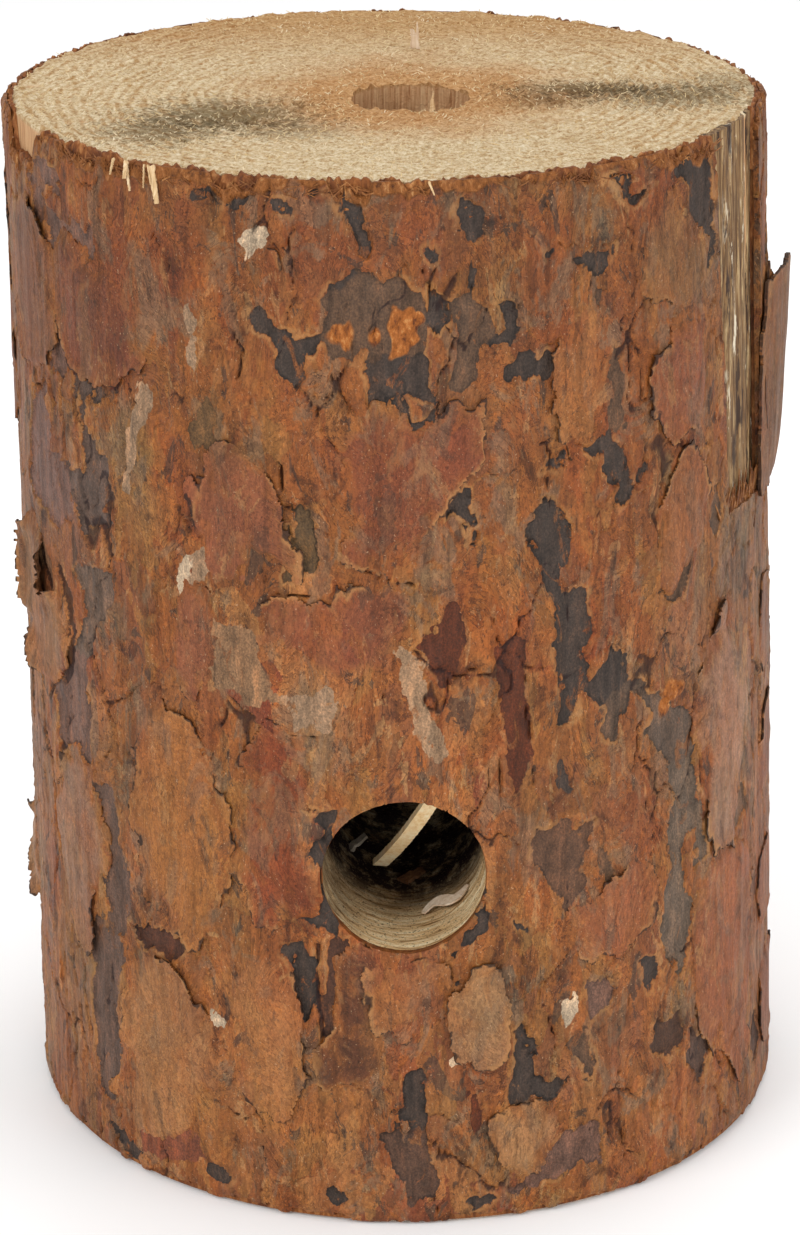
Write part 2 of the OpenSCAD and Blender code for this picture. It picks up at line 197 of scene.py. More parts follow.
# ------------------------------------------------------------------ bark layers
# Open cracks: half width in mm, then angle and height of each bend.
CRACKS = [
    (0.6, (-12.4, 28), (-12, 36), (-12.6, 47), (-12.4, 57)), (0.45, (-60, 180), (-57, 176),
    (-57.3, 170), (-56.4, 166), (-57.4, 161), (-59, 156)), (0.6, (-43.8, 169), (-43, 164),
    (-42.4, 160), (-43.6, 157)), (0.5, (-59.5, 155), (-60, 152), (-58.6, 150)), (0.35, (-67, 147),
    (-67, 150.6), (-61.6, 153)), (1.3, (-70, 124.5), (-67.5, 121), (-66, 116), (-63.5, 113)), (1.6,
    (-59.6, 117), (-57, 113), (-56.2, 107), (-57.4, 101), (-59.6, 95.5)), (0.6, (-68.4, 93),
    (-68.8, 88), (-68.2, 82), (-66, 77), (-65, 71), (-65, 63), (-63.6, 60), (-68, 50)), (0.5,
    (-64, 92.6), (-65, 90)), (0.5, (-61, 44), (-61.4, 36), (-59.6, 30), (-59.4, 24), (-58.8, 17)),
    (0.6, (-50, 44), (-50, 38), (-52, 31), (-53, 24), (-53.8, 15)), (0.4, (-57, 38), (-57.4, 31),
    (-56, 24)), (0.3, (-64.8, 36), (-64.4, 28), (-65, 20)), (0.25, (-28.4, 140), (-30.4, 135),
    (-30.8, 129)), (0.35, (-16.8, 151), (-15.4, 148), (-15.7, 141), (-13.8, 140.6)), (0.35,
    (-20.2, 128), (-20.4, 123), (-20, 119), (-18.2, 115)), (0.3, (-19, 129), (-18, 126),
    (-17.6, 124)), (0.3, (-17, 124.4), (-12, 124.6), (-9.4, 123), (-8.6, 119), (-7.6, 116.6),
    (-6.6, 121), (-6, 125)), (0.3, (-29.8, 124.6), (-27.4, 124), (-26.8, 121)), (0.25, (-30, 104),
    (-34, 105)), (0.3, (-5, 130.6), (-2.6, 129.2), (0, 127.8), (2.8, 127.4)), (0.25, (-1.2, 115),
    (-2, 111), (-2, 106)), (0.35, (-21.4, 176), (-21.8, 171), (-20.6, 169), (-21.4, 164)), (0.25,
    (-36, 190), (-33, 184), (-31, 180)), (0.25, (-1.6, 180), (-1.8, 175), (-0.6, 170)), (0.2,
    (-10.4, 161.6), (-8, 161.4), (-6, 160)), (0.35, (38.7, 190), (38, 187), (37.4, 183),
    (38.2, 178), (37, 173), (34.8, 170.6), (36.6, 168.4), (38.6, 165), (39, 160), (38.6, 155)),
    (0.25, (40, 153), (39.4, 148), (38.8, 144)), (0.3, (42.6, 146), (42.8, 141), (42, 136),
    (40.6, 130), (43, 125), (44.4, 121)), (0.2, (44.6, 163), (46.8, 159)), (0.2, (39.4, 156),
    (45.4, 156.4)), (0.2, (24.6, 162), (24.8, 154)), (0.3, (54.8, 106), (56.4, 111), (58.4, 113),
    (60.4, 112)), (0.2, (56, 153), (56.8, 147)), (0.3, (39, 90), (39.4, 84), (38.8, 78), (40.6, 74),
    (39.2, 66), (40, 60)), (0.3, (41.6, 55), (42, 50), (43.2, 44)), (0.25, (48.8, 46), (48, 40),
    (48.6, 31), (50.6, 28)), (0.3, (50, 62), (54, 60), (52, 56)), (0.3, (20.8, 47), (21, 42),
    (22, 37)), (0.35, (14.6, 23.4), (16.6, 23), (17.2, 25)), (0.25, (13.6, 30), (14, 17)), (0.3,
    (49.6, 98), (49.4, 90), (50.6, 80), (51.4, 68)), (0.25, (33, 16), (34, 4)), (0.2, (30.8, 14),
    (32, 5)), (0.25, (-41, 84), (-41.6, 76), (-40.6, 70), (-38, 70)), (0.3, (-32, 64), (-31.8, 57)),
    (0.2, (-28, 93), (-26.6, 86), (-25, 84)), (0.2, (14.4, 97), (14.8, 84)),
]
# Torn orange fibres left on the bark: angle, height, half width, half height in mm.
SPOTS = [
    (2.5, 173.4, 3.3, 4.4), (-6.7, 172.8, 2.3, 2.6), (-1.6, 172.5, 1.1, 1.6), (43, 96.5, 1.2, 2.2),
    (-30, 92, 1.4, 1.2), (44.5, 99, 3.0, 1.6), (-66, 31, 1.2, 4.0), (-12, 33, 1.0, 4.0),
]


def crack_distance(a, z):
    """Distance inside the open cracks, in mm: half width less the distance to the bent line."""
    best = np.full(a.shape, -9.0)
    for half, *bends in CRACKS:
        lo, hi = np.min(bends, 0) - (5, 5), np.max(bends, 0) + (5, 5)
        near = (a > lo[0]) & (a < hi[0]) & (z > lo[1]) & (z < hi[1])
        s, t = a[near] * ARC, z[near]
        d = np.full(s.shape, 99.0)
        for (a0, z0), (a1, z1) in zip(bends, bends[1:]):
            ex, ez = (a1 - a0) * ARC, z1 - z0
            k = np.clip(((s - a0 * ARC) * ex + (t - z0) * ez) / (ex * ex + ez * ez), 0, 1)
            d = np.minimum(d, np.hypot(s - a0 * ARC - k * ex, t - z0 - k * ez))
        d = d + 1.5 * np.abs(ripple(a[near], z[near], 2.5, 5, 33, 3))
        best[near] = np.maximum(best[near], half - d)
    return best


def bent(a, z, seed, reach=5.0):
    """The point moved by up to reach mm of slow noise and small angular chips, to make edges ragged."""
    sway = ripple(a, z, 11, 18, seed, 3)
    lift = ripple(a, z, 11, 18, seed + 4, 3)
    chips = ring_cells(a, z, 2.6, 4.2, seed + 8)[2] - 0.5
    return a + (2.2 * reach * sway + 0.9 * chips) / ARC, z + 2.6 * reach * lift + 1.6 * chips


def patches(a, z):
    """The stained or shed patch on top: signed distance inside it in mm, its tone, its depth."""
    u, v = bent(a, z, 21, 1.1)
    best, deep = np.full(a.shape, -9.0), np.zeros(a.shape)
    tone = evenly(SHED, a)
    for colour, depth, points in PATCHES:
        pts = np.asarray(points, float)
        (a0, z0), (a1, z1) = pts.min(0) - 4, pts.max(0) + 4
        near = (a > a0) & (a < a1) & (z > z0) & (z < z1)
        if near.any():
            d = outline_distance(u[near] * ARC, v[near], pts * (ARC, 1))
            over = d > best[near]
            best[near] = np.where(over, d, best[near])
            deep[near] = np.where(over, depth, deep[near])
            tone[near] = np.where(over[..., None], np.array(colour[:3]), tone[near])
    wild = step(np.abs(from_front(a)), 68, 82)
    spare = (ring(a, z, 9, 22, 61, 4) - 0.68) * 24 * wild - 9 * (1 - wild)
    tone = np.where((spare > best)[..., None], np.array(SHED[:3]), tone)
    deep = np.where(spare > best, 0.7, deep)
    ragged = 1.5 * (ring(a, z, 2.2, 3.4, 25, 4, 0.6) - 0.5) + 0.9 * (ring_cells(a, z, 1.7, 2.6, 27)[2] - 0.5)
    return np.maximum(best, spare) + ragged, tone, deep


def strata(a, z):
    """Which of the thin bark sheets lies on top, 0 to 1: jigsaw flakes of two sizes over tall soft noise."""
    u, v = bent(a, z, 3)
    gap, own = ring_cells(u, v, 15, 27, 17)[1:]
    gap2, own2 = ring_cells(*bent(a, z, 203, 3.0), 6.5, 13, 19)[1:]
    flakes = 0.62 * own + 0.2 * own2
    slow = ring(a, z, 15, 34, 5)
    seam = np.minimum(gap * 15, gap2 * 6.5 + 0.5)
    return np.clip(0.72 * flakes + 0.4 * slow, 0, 1), seam


def ground(a, z):
    """Bark surface below the plates: its distance out from the wood and what shows in its colour."""
    (n, seam), c = strata(a, z), crack_distance(a, z)
    w, tone, deep = patches(a, z)
    chosen = step(ring(a, z, 10, 16, 47, 3), 0.56, 0.72)
    c = np.maximum(c, np.minimum(0.24 * chosen - 0.6 * seam, 0.2))
    slow = ripple(a, z, 34, 60, 91, 2)
    terraces = sum(step(n, t - 0.03, t + 0.03) for t in (0.2, 0.34, 0.46, 0.56, 0.68, 0.8)) / 6
    lift = step(ring(a, z, 14, 20, 71, 2), 0.45, 0.75) * np.exp(-np.abs(w) / 1.3) * (w < 0) * deep
    curl = step(ring(a, z, 18, 24, 73, 2), 0.55, 0.75) * np.exp(-np.maximum(seam, 0) / 1.5)
    grain = ripple(a, z, 0.9, 7, 95, 2)
    out = BARK_OUT - 0.5 + 0.5 * terraces + 0.5 * lift + 0.35 * curl + 0.5 * slow + 0.12 * grain
    out = out - deep * step(w, -0.25, 0.25) - 0.8 * step(c, -0.25, 0.2)
    fields = dict(strata=n, window=np.maximum(w, -9), crack_shade=c, patch_tone=tone, deep=deep / 0.7)
    return np.maximum(out, BARK_IN + 0.12), fields


# -------------------------------------------------------------------- mesh kit
def make_mesh(name, verts, faces, material, fields=None, sharp=48):
    """A piece from metre points and quads (last corner -1 for a triangle).

    Edges that bend by more than sharp degrees are crisp.
    """
    mesh = bpy.data.meshes.new(name)
    faces = np.asarray(faces)
    if faces.shape[1] == 4 and (faces[:, 3] < 0).any():
        rows = [f[:3] if f[3] < 0 else f for f in faces.tolist()]
        mesh.from_pydata(verts.tolist(), [], rows)
    else:
        k = faces.shape[1]
        mesh.vertices.add(len(verts))
        mesh.vertices.foreach_set("co", np.ascontiguousarray(verts, np.float32).ravel())
        mesh.loops.add(faces.size)
        mesh.loops.foreach_set("vertex_index", faces.astype(np.int32).ravel())
        mesh.polygons.add(len(faces))
        mesh.polygons.foreach_set("loop_start", np.arange(0, faces.size, k, dtype=np.int32))
        mesh.update(calc_edges=True)
    for key, values in (fields or {}).items():
        values = np.asarray(values, np.float32)
        if values.ndim == 2:
            rgba = np.concatenate([values, np.ones((len(values), 1), np.float32)], 1)
            mesh.attributes.new(key, "FLOAT_COLOR", "POINT").data.foreach_set("color", rgba.ravel())
        else:
            mesh.attributes.new(key, "FLOAT", "POINT").data.foreach_set("value", values)
    mesh.shade_smooth()
    mesh.set_sharp_from_angle(angle=np.radians(sharp))
    mesh.materials.append(material)
    piece = bpy.data.objects.new(name, mesh)
    bpy.context.scene.collection.objects.link(piece)
    return piece


def tidy_cells(keep):
    """Drops grid cells that hang by a corner, so that every wall edge has two faces."""
    for _ in range(6):
        p = np.pad(keep, 1)
        a, b, c, d = p[:-1, :-1], p[:-1, 1:], p[1:, :-1], p[1:, 1:]
        pinch = (a & d & ~b & ~c) | (b & c & ~a & ~d)
        bad = pinch[:-1, :-1] | pinch[:-1, 1:] | pinch[1:, :-1] | pinch[1:, 1:]
        sides = (p[:-2, 1:-1].astype(int) + p[2:, 1:-1] + p[1:-1, :-2] + p[1:-1, 2:])
        drop = keep & (bad | (sides < 1))
        if not drop.any():
            break
        keep = keep & ~drop
    return keep


def largest_patch(keep):
    """The biggest edge-joined patch of cells: labels spread to their neighbours' highest until still."""
    label = np.where(keep, np.arange(1, keep.size + 1).reshape(keep.shape), 0)
    while True:
        p = np.pad(label, 1)
        spread = np.max([p[1:-1, 1:-1], p[:-2, 1:-1], p[2:, 1:-1], p[1:-1, :-2], p[1:-1, 2:]], 0)
        spread = np.where(keep, spread, 0)
        if (spread == label).all():
            break
        label = spread
    values, counts = np.unique(label[keep], return_counts=True)
    return label == values[counts.argmax()] if len(values) else keep


def bark_sheet(name, a, z, outer, inner, material, fields, distance=None, one_patch=False):
    """A closed sheet of bark over the grid a, z: radii outer and inner, cut where distance is below 0.

    Cells whose corners all lie inside are kept, the cut's corners slide along the
    distance's slope onto its zero line, and walls join the two sides along every free edge.
    """
    if distance is None:
        keep = np.ones((a.shape[0] - 1, a.shape[1] - 1), bool)
    else:
        pitch = (a[0, 1] - a[0, 0]) * ARC
        ok = distance > -0.5 * pitch
        keep = ok[:-1, :-1] & ok[1:, :-1] & ok[:-1, 1:] & ok[1:, 1:]
        keep = tidy_cells(keep)
        if one_patch:
            keep = tidy_cells(largest_patch(keep))
        gz, gs = np.gradient(distance)
        gs, gz = gs / pitch, gz / np.maximum(np.gradient(z, axis=0), 1e-6)
        p = np.pad(keep, 1)
        around = (p[:-1, :-1].astype(int) + p[:-1, 1:] + p[1:, :-1] + p[1:, 1:])
        edge = (around > 0) & (around < 4) & (np.abs(distance) < 1.3 * pitch)
        move = np.where(edge, -distance / np.maximum(gs * gs + gz * gz, 0.3), 0)
        move = np.clip(move, -0.75 * pitch, 0.75 * pitch)
        a, z = a + move * gs / ARC, z + move * gz
    used = np.zeros(a.shape, bool)
    for di in (0, 1):
        for dj in (0, 1):
            used[di:a.shape[0] - 1 + di, dj:a.shape[1] - 1 + dj] |= keep
    index = np.full(a.shape, -1)
    index[used] = np.arange(used.sum())
    n = int(used.sum())
    i, j = np.nonzero(keep)
    q = np.stack([index[i, j], index[i, j + 1], index[i + 1, j + 1], index[i + 1, j]], 1)
    faces = [q, q[:, ::-1] + n]
    p = np.pad(keep, 1)
    free = [~p[i, j + 1], ~p[i + 1, j + 2], ~p[i + 2, j + 1], ~p[i + 1, j]]
    for k in range(4):
        e = q[free[k]]
        s, t = e[:, k], e[:, (k + 1) % 4]
        faces.append(np.stack([t, s, s + n, t + n], 1))
    verts = np.concatenate([on_trunk(a[used], z[used], outer[used]),
                            on_trunk(a[used], z[used], inner[used])])
    both = {k: np.concatenate([v[used], v[used]]) for k, v in fields.items()}
    return make_mesh(name, verts, np.concatenate(faces), material, both)


def grid(a0, a1, z0, z1, pitch, rows=None):
    """Angles and heights of a grid with cells about pitch mm each way, or in so many rows."""
    cols = max(2, int(round((a1 - a0) * ARC / pitch)))
    rows = rows or max(2, int(round((z1 - z0) / pitch)))
    return np.meshgrid(np.linspace(a0, a1, cols + 1), np.linspace(z0, z1, rows + 1))


# ------------------------------------------------------------------- materials
LIGHT, SHEEN = 1.10, 0.012               # what the studio light adds to a colour


def srgb(r, g, b):
    """Reflectance that shows as this display colour, 0 to 255, in the studio light."""
    c = np.array([r, g, b]) / 255
    c = np.where(c <= 0.04045, c / 12.92, ((c + 0.055) / 1.055) ** 2.4)
    return tuple(np.maximum(c / LIGHT - SHEEN, 0.12 * c)) + (1.0,)


class Finish:
    """A node material; each method adds one node and gives back its output."""

    def __init__(self, name, roughness=0.6, specular=0.4):
        self.material = bpy.data.materials.new(name)
        self.material.use_nodes = True
        self.tree = self.material.node_tree
        self.shader = self.tree.nodes["Principled BSDF"]
        self.shader.inputs["Roughness"].default_value = roughness
        self.shader.inputs["Specular IOR Level"].default_value = specular
        self.object = self.node("ShaderNodeTexCoord").outputs["Object"]

    def node(self, kind, **settings):
        made = self.tree.nodes.new(kind)
        for key, value in settings.items():
            setattr(made, key, value)
        return made

    def feed(self, socket, value):
        if isinstance(value, bpy.types.NodeSocket):
            self.tree.links.new(value, socket)
        else:
            socket.default_value = value

    def attribute(self, name, colour=False):
        made = self.node("ShaderNodeAttribute", attribute_name=name)
        return made.outputs["Color" if colour else "Fac"]

    def stretch(self, x, y, z, shift=0.0):
        made = self.node("ShaderNodeMapping")
        self.feed(made.inputs["Vector"], self.object)
        made.inputs["Location"].default_value = (shift, shift, shift)
        made.inputs["Scale"].default_value = (x, y, z)
        return made.outputs["Vector"]

    def noise(self, vector, detail=3.0, rough=0.55, warp=0.0):
        made = self.node("ShaderNodeTexNoise")
        self.feed(made.inputs["Vector"], vector)
        made.inputs["Scale"].default_value = 1.0
        made.inputs["Detail"].default_value = detail
        made.inputs["Roughness"].default_value = rough
        made.inputs["Distortion"].default_value = warp
        return made.outputs["Fac"]

    def math(self, kind, a, b=0.0):
        made = self.node("ShaderNodeMath", operation=kind)
        self.feed(made.inputs[0], a)
        self.feed(made.inputs[1], b)
        return made.outputs[0]

    def times(self, a, b):
        return self.math("MULTIPLY", a, b)

    def plus(self, a, b):
        return self.math("ADD", a, b)

    def minus(self, a, b):
        return self.math("SUBTRACT", a, b)

    def stray(self, value, wave, reach):
        """The value moved by reach times what the wave has over or under one half."""
        return self.plus(value, self.times(self.minus(wave, 0.5), reach))

    def tint(self, base, colour, share=1.0):
        """The base multiplied by a colour, for its share."""
        return self.mix(share, base, colour, "MULTIPLY")

    def band(self, value, low, high, to_low=0.0, to_high=1.0):
        made = self.node("ShaderNodeMapRange", interpolation_type="SMOOTHSTEP")
        for socket, v in zip(made.inputs[:5], (value, low, high, to_low, to_high)):
            self.feed(socket, v)
        return made.outputs[0]

    def ramp(self, value, stops, sharp=False):
        made = self.node("ShaderNodeValToRGB")
        made.color_ramp.interpolation = "CONSTANT" if sharp else "LINEAR"
        while len(made.color_ramp.elements) < len(stops):
            made.color_ramp.elements.new(1.0)
        for element, (place, colour) in zip(made.color_ramp.elements, stops):
            element.position, element.color = place, colour
        self.feed(made.inputs["Fac"], value)
        return made.outputs["Color"]

    def mix(self, share, a, b, blend="MIX"):
        made = self.node("ShaderNodeMix", data_type="RGBA", blend_type=blend)
        self.feed(made.inputs[0], share)
        self.feed(made.inputs[6], a)
        self.feed(made.inputs[7], b)
        return made.outputs[2]

    def axis(self, vector, name):
        made = self.node("ShaderNodeSeparateXYZ")
        self.feed(made.inputs[0], vector)
        return made.outputs[name]

    def finish(self, colour, height=None, depth=0.0003, roughness=None):
        self.feed(self.shader.inputs["Base Color"], colour)
        if height is not None:
            bump = self.node("ShaderNodeBump")
            bump.inputs["Strength"].default_value = 1.0
            bump.inputs["Distance"].default_value = depth
            self.feed(bump.inputs["Height"], height)
            self.feed(self.shader.inputs["Normal"], bump.outputs["Normal"])
        if roughness is not None:
            self.feed(self.shader.inputs["Roughness"], roughness)
        return self.material


RED_BROWN, ORANGE, BROWN = srgb(132, 82, 54), srgb(146, 90, 52), srgb(144, 96, 58)
MAROON, TAN, CREAM = srgb(126, 72, 52), srgb(170, 122, 80), srgb(224, 210, 184)
# The second colour is near-black. It is the bark's own black specks, and also painted shade at the foot of sunk
# patches, painted shadow under lifted plate edges and painted shade in the bare strip's split.
SHED, BLACK_SPECKS_AND_SHADE = srgb(84, 66, 54), srgb(34, 25, 20)


# Tints of the bark's thin films, from the lowest mark of the layer noise to the highest.
FILMS = ((0.74, 0.7, 0.66, 1), (1.04, 1.0, 0.98, 1), (0.84, 0.82, 0.8, 1), (1.08, 1.06, 1.0, 1),
         (0.92, 0.86, 0.82, 1), (1.12, 1.1, 1.06, 1), (0.8, 0.84, 0.86, 1))


def bark_finish(name, plate):
    """Papery bark: tones by sheet, tall streaks, specks, dark shed windows and pale broken edges."""
    f = Finish(name, 0.58, 0.22)
    fine = f.noise(f.stretch(1500, 1500, 800), 3, 0.65)
    streak = f.noise(f.stretch(520, 520, 42), 5, 0.62, 0.5)
    blotch = f.noise(f.stretch(210, 210, 110), 5, 0.66, 0.8)
    broad = f.noise(f.stretch(80, 80, 36), 4, 0.6, 0.6)
    speck = f.noise(f.stretch(2300, 2300, 1900), 2, 0.6)
    sheet = f.stray(f.attribute("strata"), blotch, 0.10)
    tones = f.ramp(sheet, [(0, BROWN), (0.24, RED_BROWN), (0.36, ORANGE), (0.47, srgb(152, 102, 60)),
                           (0.56, srgb(138, 84, 50)), (0.68, srgb(160, 108, 68)), (0.8, MAROON)], sharp=True)
    layer = f.noise(f.stretch(85, 85, 44, 11.0), 7, 0.64, 0.7)
    # At each mark of the layer noise: a pale line of broken flake edge, and beside it a dark line of painted
    # shadow.
    marks = (0.385, 0.435, 0.475, 0.515, 0.56, 0.61)
    stops = [(0.0, (1, 1, 1, 1))]
    for t in marks:
        stops += [(t - 0.014, (1, 1, 1, 1)), (t - 0.004, (1.32, 1.26, 1.16, 1)), (t, (0.3, 0.26, 0.23, 1)),
                  (t + 0.010, (1, 1, 1, 1))]
    edge_lines_and_shadow = f.ramp(layer, stops)
    films = f.ramp(layer, list(zip((0.0,) + marks, FILMS)), sharp=True)
    steps = f.ramp(layer, [(t, (k / 6, k / 6, k / 6, 1)) for k, t in enumerate((0.0,) + marks)], sharp=True)
    if plate:
        near = f.attribute("inset")
        thin = f.stray(near, blotch, 5.0)
        lifted = f.attribute("lifted")
        merged = f.times(f.band(thin, 0.4, 4.0, 0.9, 0.22), f.band(lifted, 0.0, 1.0, 1.0, 0.5))
        base = f.mix(merged, f.attribute("tone", True), tones)
    else:
        base = f.mix(f.attribute("wash"), tones, f.attribute("tone", True))
        near = f.times(f.attribute("window"), -1.0)
    whole = 0.6 if plate else 1.0
    rust = f.noise(f.stretch(190, 190, 115, 3.0), 6, 0.7, 1.0)
    base = f.mix(f.band(rust, 0.52, 0.6, 0.0, 0.55 * whole), base, srgb(148, 92, 50))
    stain = f.noise(f.stretch(165, 165, 78, 13.0), 7, 0.68, 0.8)
    base = f.mix(f.band(stain, 0.595, 0.615, 0.0, 0.8 * whole), base, srgb(84, 66, 56))
    base = f.mix(f.band(stain, 0.40, 0.385, 0.0, 0.7 * whole), base, srgb(166, 124, 86))
    veil = f.noise(f.stretch(125, 125, 60, 5.0), 6, 0.7, 0.8)
    base = f.mix(f.band(veil, 0.53, 0.6, 0.0, 0.6 * whole), base, srgb(126, 104, 86))
    hue = f.ramp(broad, [(0.32, (1.0, 0.84, 0.72, 1)), (0.46, (1, 1, 1, 1)), (0.56, (0.92, 0.98, 0.94, 1)),
                         (0.7, (0.72, 0.82, 0.8, 1))])
    base = f.tint(base, hue, whole)
    smoke = f.ramp(f.noise(f.stretch(150, 150, 90, 7.0), 7, 0.72, 1.0), [
        (0.36, (0.34, 0.3, 0.27, 1)), (0.41, (0.62, 0.58, 0.54, 1)), (0.44, (0.94, 0.92, 0.9, 1)),
        (0.54, (1, 1, 1, 1)), (0.63, (1.16, 1.12, 1.05, 1))])
    base = f.tint(base, smoke, 0.85 * whole)
    coarse = f.noise(f.stretch(3000, 3000, 2400), 2, 0.6)
    for grit, low, high in ((fine, 0.74, 1.14), (coarse, 0.8, 1.16)):
        base = f.tint(base, f.ramp(grit, [(0.32, (low, low, low, 1)), (0.5, (1, 1, 1, 1)),
                                              (0.68, (high, high, high * 0.98, 1))]))
    flaked = f.band(f.noise(f.stretch(100, 100, 70, 9.0), 3, 0.6), 0.42, 0.54, 0.25, 1.0)
    base = f.tint(base, films, 0.55 if plate else 0.9)
    base = f.tint(base, edge_lines_and_shadow, f.times(flaked, 0.6 if plate else 0.9))
    dark = f.ramp(streak, [(0.3, srgb(150, 140, 134)), (0.46, srgb(232, 228, 226)),
                           (0.7, srgb(255, 255, 255))])
    base = f.tint(base, dark, 0.45 if plate else 0.6)
    base = f.mix(f.band(blotch, 0.56, 0.7, 0, 0.5), base, f.mix(0.5, base, TAN))
    base = f.mix(f.band(blotch, 0.42, 0.3, 0, 0.55), base, f.mix(0.6, base, srgb(96, 60, 42)))
    base = f.mix(f.band(speck, 0.66, 0.74, 0, 0.55), base, srgb(184, 150, 120))
    base = f.mix(f.band(speck, 0.33, 0.25, 0, 0.6), base, BLACK_SPECKS_AND_SHADE)
    # Lighter towards the foot of the log and darker towards the top.
    height_tint = f.ramp(f.band(f.axis(f.object, "Z"), 0.02, 0.17),
                     [(0, (1.08, 1.06, 1.02, 1)), (1, (0.94, 0.91, 0.86, 1))])
    base = f.tint(base, height_tint)
    edge = f.stray(near, fine, 0.7)
    side = f.noise(f.stretch(120, 120, 60), 3, 0.6)
    rim = f.times(f.band(edge, 0.0, 0.2), f.band(edge, 1.3, 0.4))
    if not plate:
        rim = f.times(rim, f.attribute("deep"))
    if plate:
        rim = f.times(rim, f.band(lifted, 0.1, 0.8))
    base = f.mix(f.times(rim, f.band(side, 0.46, 0.6, 0.0, 0.55)), base, srgb(172, 124, 78))
    if plate:
        # Painted shadow under the lifted edge of a plate: near-black along it.
        gap = f.times(f.band(edge, 0.5, 0.15), f.band(lifted, 0.2, 0.7))
        base = f.mix(f.times(gap, 0.8), base, BLACK_SPECKS_AND_SHADE)
    rough = f.band(streak, 0.3, 0.7, 0.66, 0.48)
    height = f.plus(f.times(streak, 0.5), f.times(fine, 0.5))
    height = f.plus(height, f.times(blotch, 0.8))
    height = f.plus(height, f.times(coarse, 0.35))
    height = f.plus(height, f.times(steps, 2.5))
    if not plate:
        shade = f.ramp(f.noise(f.stretch(420, 420, 150), 5, 0.68, 0.6), [
            (0.3, (0.45, 0.43, 0.42, 1)), (0.44, (0.78, 0.77, 0.76, 1)), (0.56, (1.05, 1.0, 0.97, 1)),
            (0.7, (1.7, 1.45, 1.25, 1))])
        shed = f.band(f.times(edge, -1.0), -0.05, 0.12)
        patch = f.tint(f.attribute("patch_tone", True), shade)
        patch = f.tint(patch, f.ramp(coarse, [(0.32, (0.7, 0.7, 0.7, 1)), (0.5, (1, 1, 1, 1)),
                                                  (0.7, (1.5, 1.45, 1.4, 1))]))
        shed = f.times(shed, f.band(rust, 0.64, 0.58, 0.4, 1.0))
        base = f.mix(shed, base, f.tint(patch, dark, 0.5))
        # Painted shade at the foot of the step into each sunk patch, near-black in places.
        foot = f.times(f.times(shed, f.attribute("deep")), f.band(edge, -0.8, -0.1))
        base = f.mix(f.times(foot, f.band(side, 0.5, 0.42, 0.1, 0.7)), base, BLACK_SPECKS_AND_SHADE)
        # Open cracks and flake seams are painted near-black: painted shade inside them.
        crack_shade = f.band(f.stray(f.attribute("crack_shade"), fine, 0.4),
                       -0.12, 0.12)
        base = f.mix(f.times(crack_shade, 0.8), base, srgb(44, 30, 22))
        rimmed = f.band(f.attribute("rim"), -0.4, 0.4)
        fibres = f.ramp(f.noise(f.stretch(900, 900, 300), 5, 0.7), [
            (0.3, srgb(58, 36, 22)), (0.43, srgb(116, 72, 40)),
            (0.58, srgb(146, 92, 52)), (0.76, srgb(196, 150, 100))])
        base = f.mix(rimmed, base, fibres)
        torn = f.ramp(f.noise(f.stretch(800, 800, 420), 5, 0.7), [
            (0.34, srgb(84, 48, 24)), (0.45, srgb(134, 78, 38)),
            (0.56, srgb(160, 96, 48)), (0.7, srgb(196, 144, 90))])
        base = f.mix(f.band(f.attribute("spot"), -0.3, 0.3), base, torn)
        height = f.plus(height, f.times(f.times(rimmed, fine), 2.0))
    return f.finish(base, height, 0.0003, rough)


def plain_wood_finish(name, low, mid, high, across, along, depth=0.0002):
    """Split or torn wood: tall fibres in three tones with a fine bump."""
    f = Finish(name, 0.7, 0.3)
    fibre = f.noise(f.stretch(across, across, along), 4, 0.65, 0.3)
    patch = f.noise(f.stretch(160, 160, 90), 3, 0.6)
    colour = f.ramp(fibre, [(0.28, low), (0.5, mid), (0.72, high)])
    colour = f.mix(f.band(patch, 0.35, 0.7, 0, 0.5), colour, f.tint(colour, mid))
    return f.finish(colour, fibre, depth)


def bare_strip_finish():
    """Weathered wood under lost bark: cream and grey fibres, brown stain, a dark split on the right."""
    f = Finish("bare_strip_wood", 0.72, 0.3)
    fibre = f.noise(f.stretch(1500, 1500, 60), 4, 0.7, 0.5)
    fleck = f.noise(f.stretch(700, 700, 260), 4, 0.65)
    side = f.attribute("side")
    colour = f.ramp(fibre, [(0.28, srgb(44, 32, 24)), (0.4, srgb(92, 66, 44)), (0.52, srgb(134, 102, 68)),
                            (0.68, srgb(188, 162, 120))])
    colour = f.mix(f.band(fleck, 0.5, 0.62, 0, 0.7), colour, srgb(104, 80, 56))
    pale = f.noise(f.stretch(420, 420, 90, 4.0), 5, 0.7)
    colour = f.mix(f.times(f.band(pale, 0.59, 0.64), f.band(side, 0.15, 0.35)), colour, CREAM)
    soiled = f.noise(f.stretch(300, 300, 60, 6.0), 5, 0.7)
    colour = f.mix(f.band(soiled, 0.44, 0.38, 0, 0.85), colour, srgb(50, 36, 28))
    # The split is painted near-black: painted shade inside it.
    colour = f.mix(f.band(f.attribute("split"), -0.3, 0.3), colour, BLACK_SPECKS_AND_SHADE)
    return f.finish(colour, f.plus(fibre, f.times(fleck, 0.6)), 0.0004)


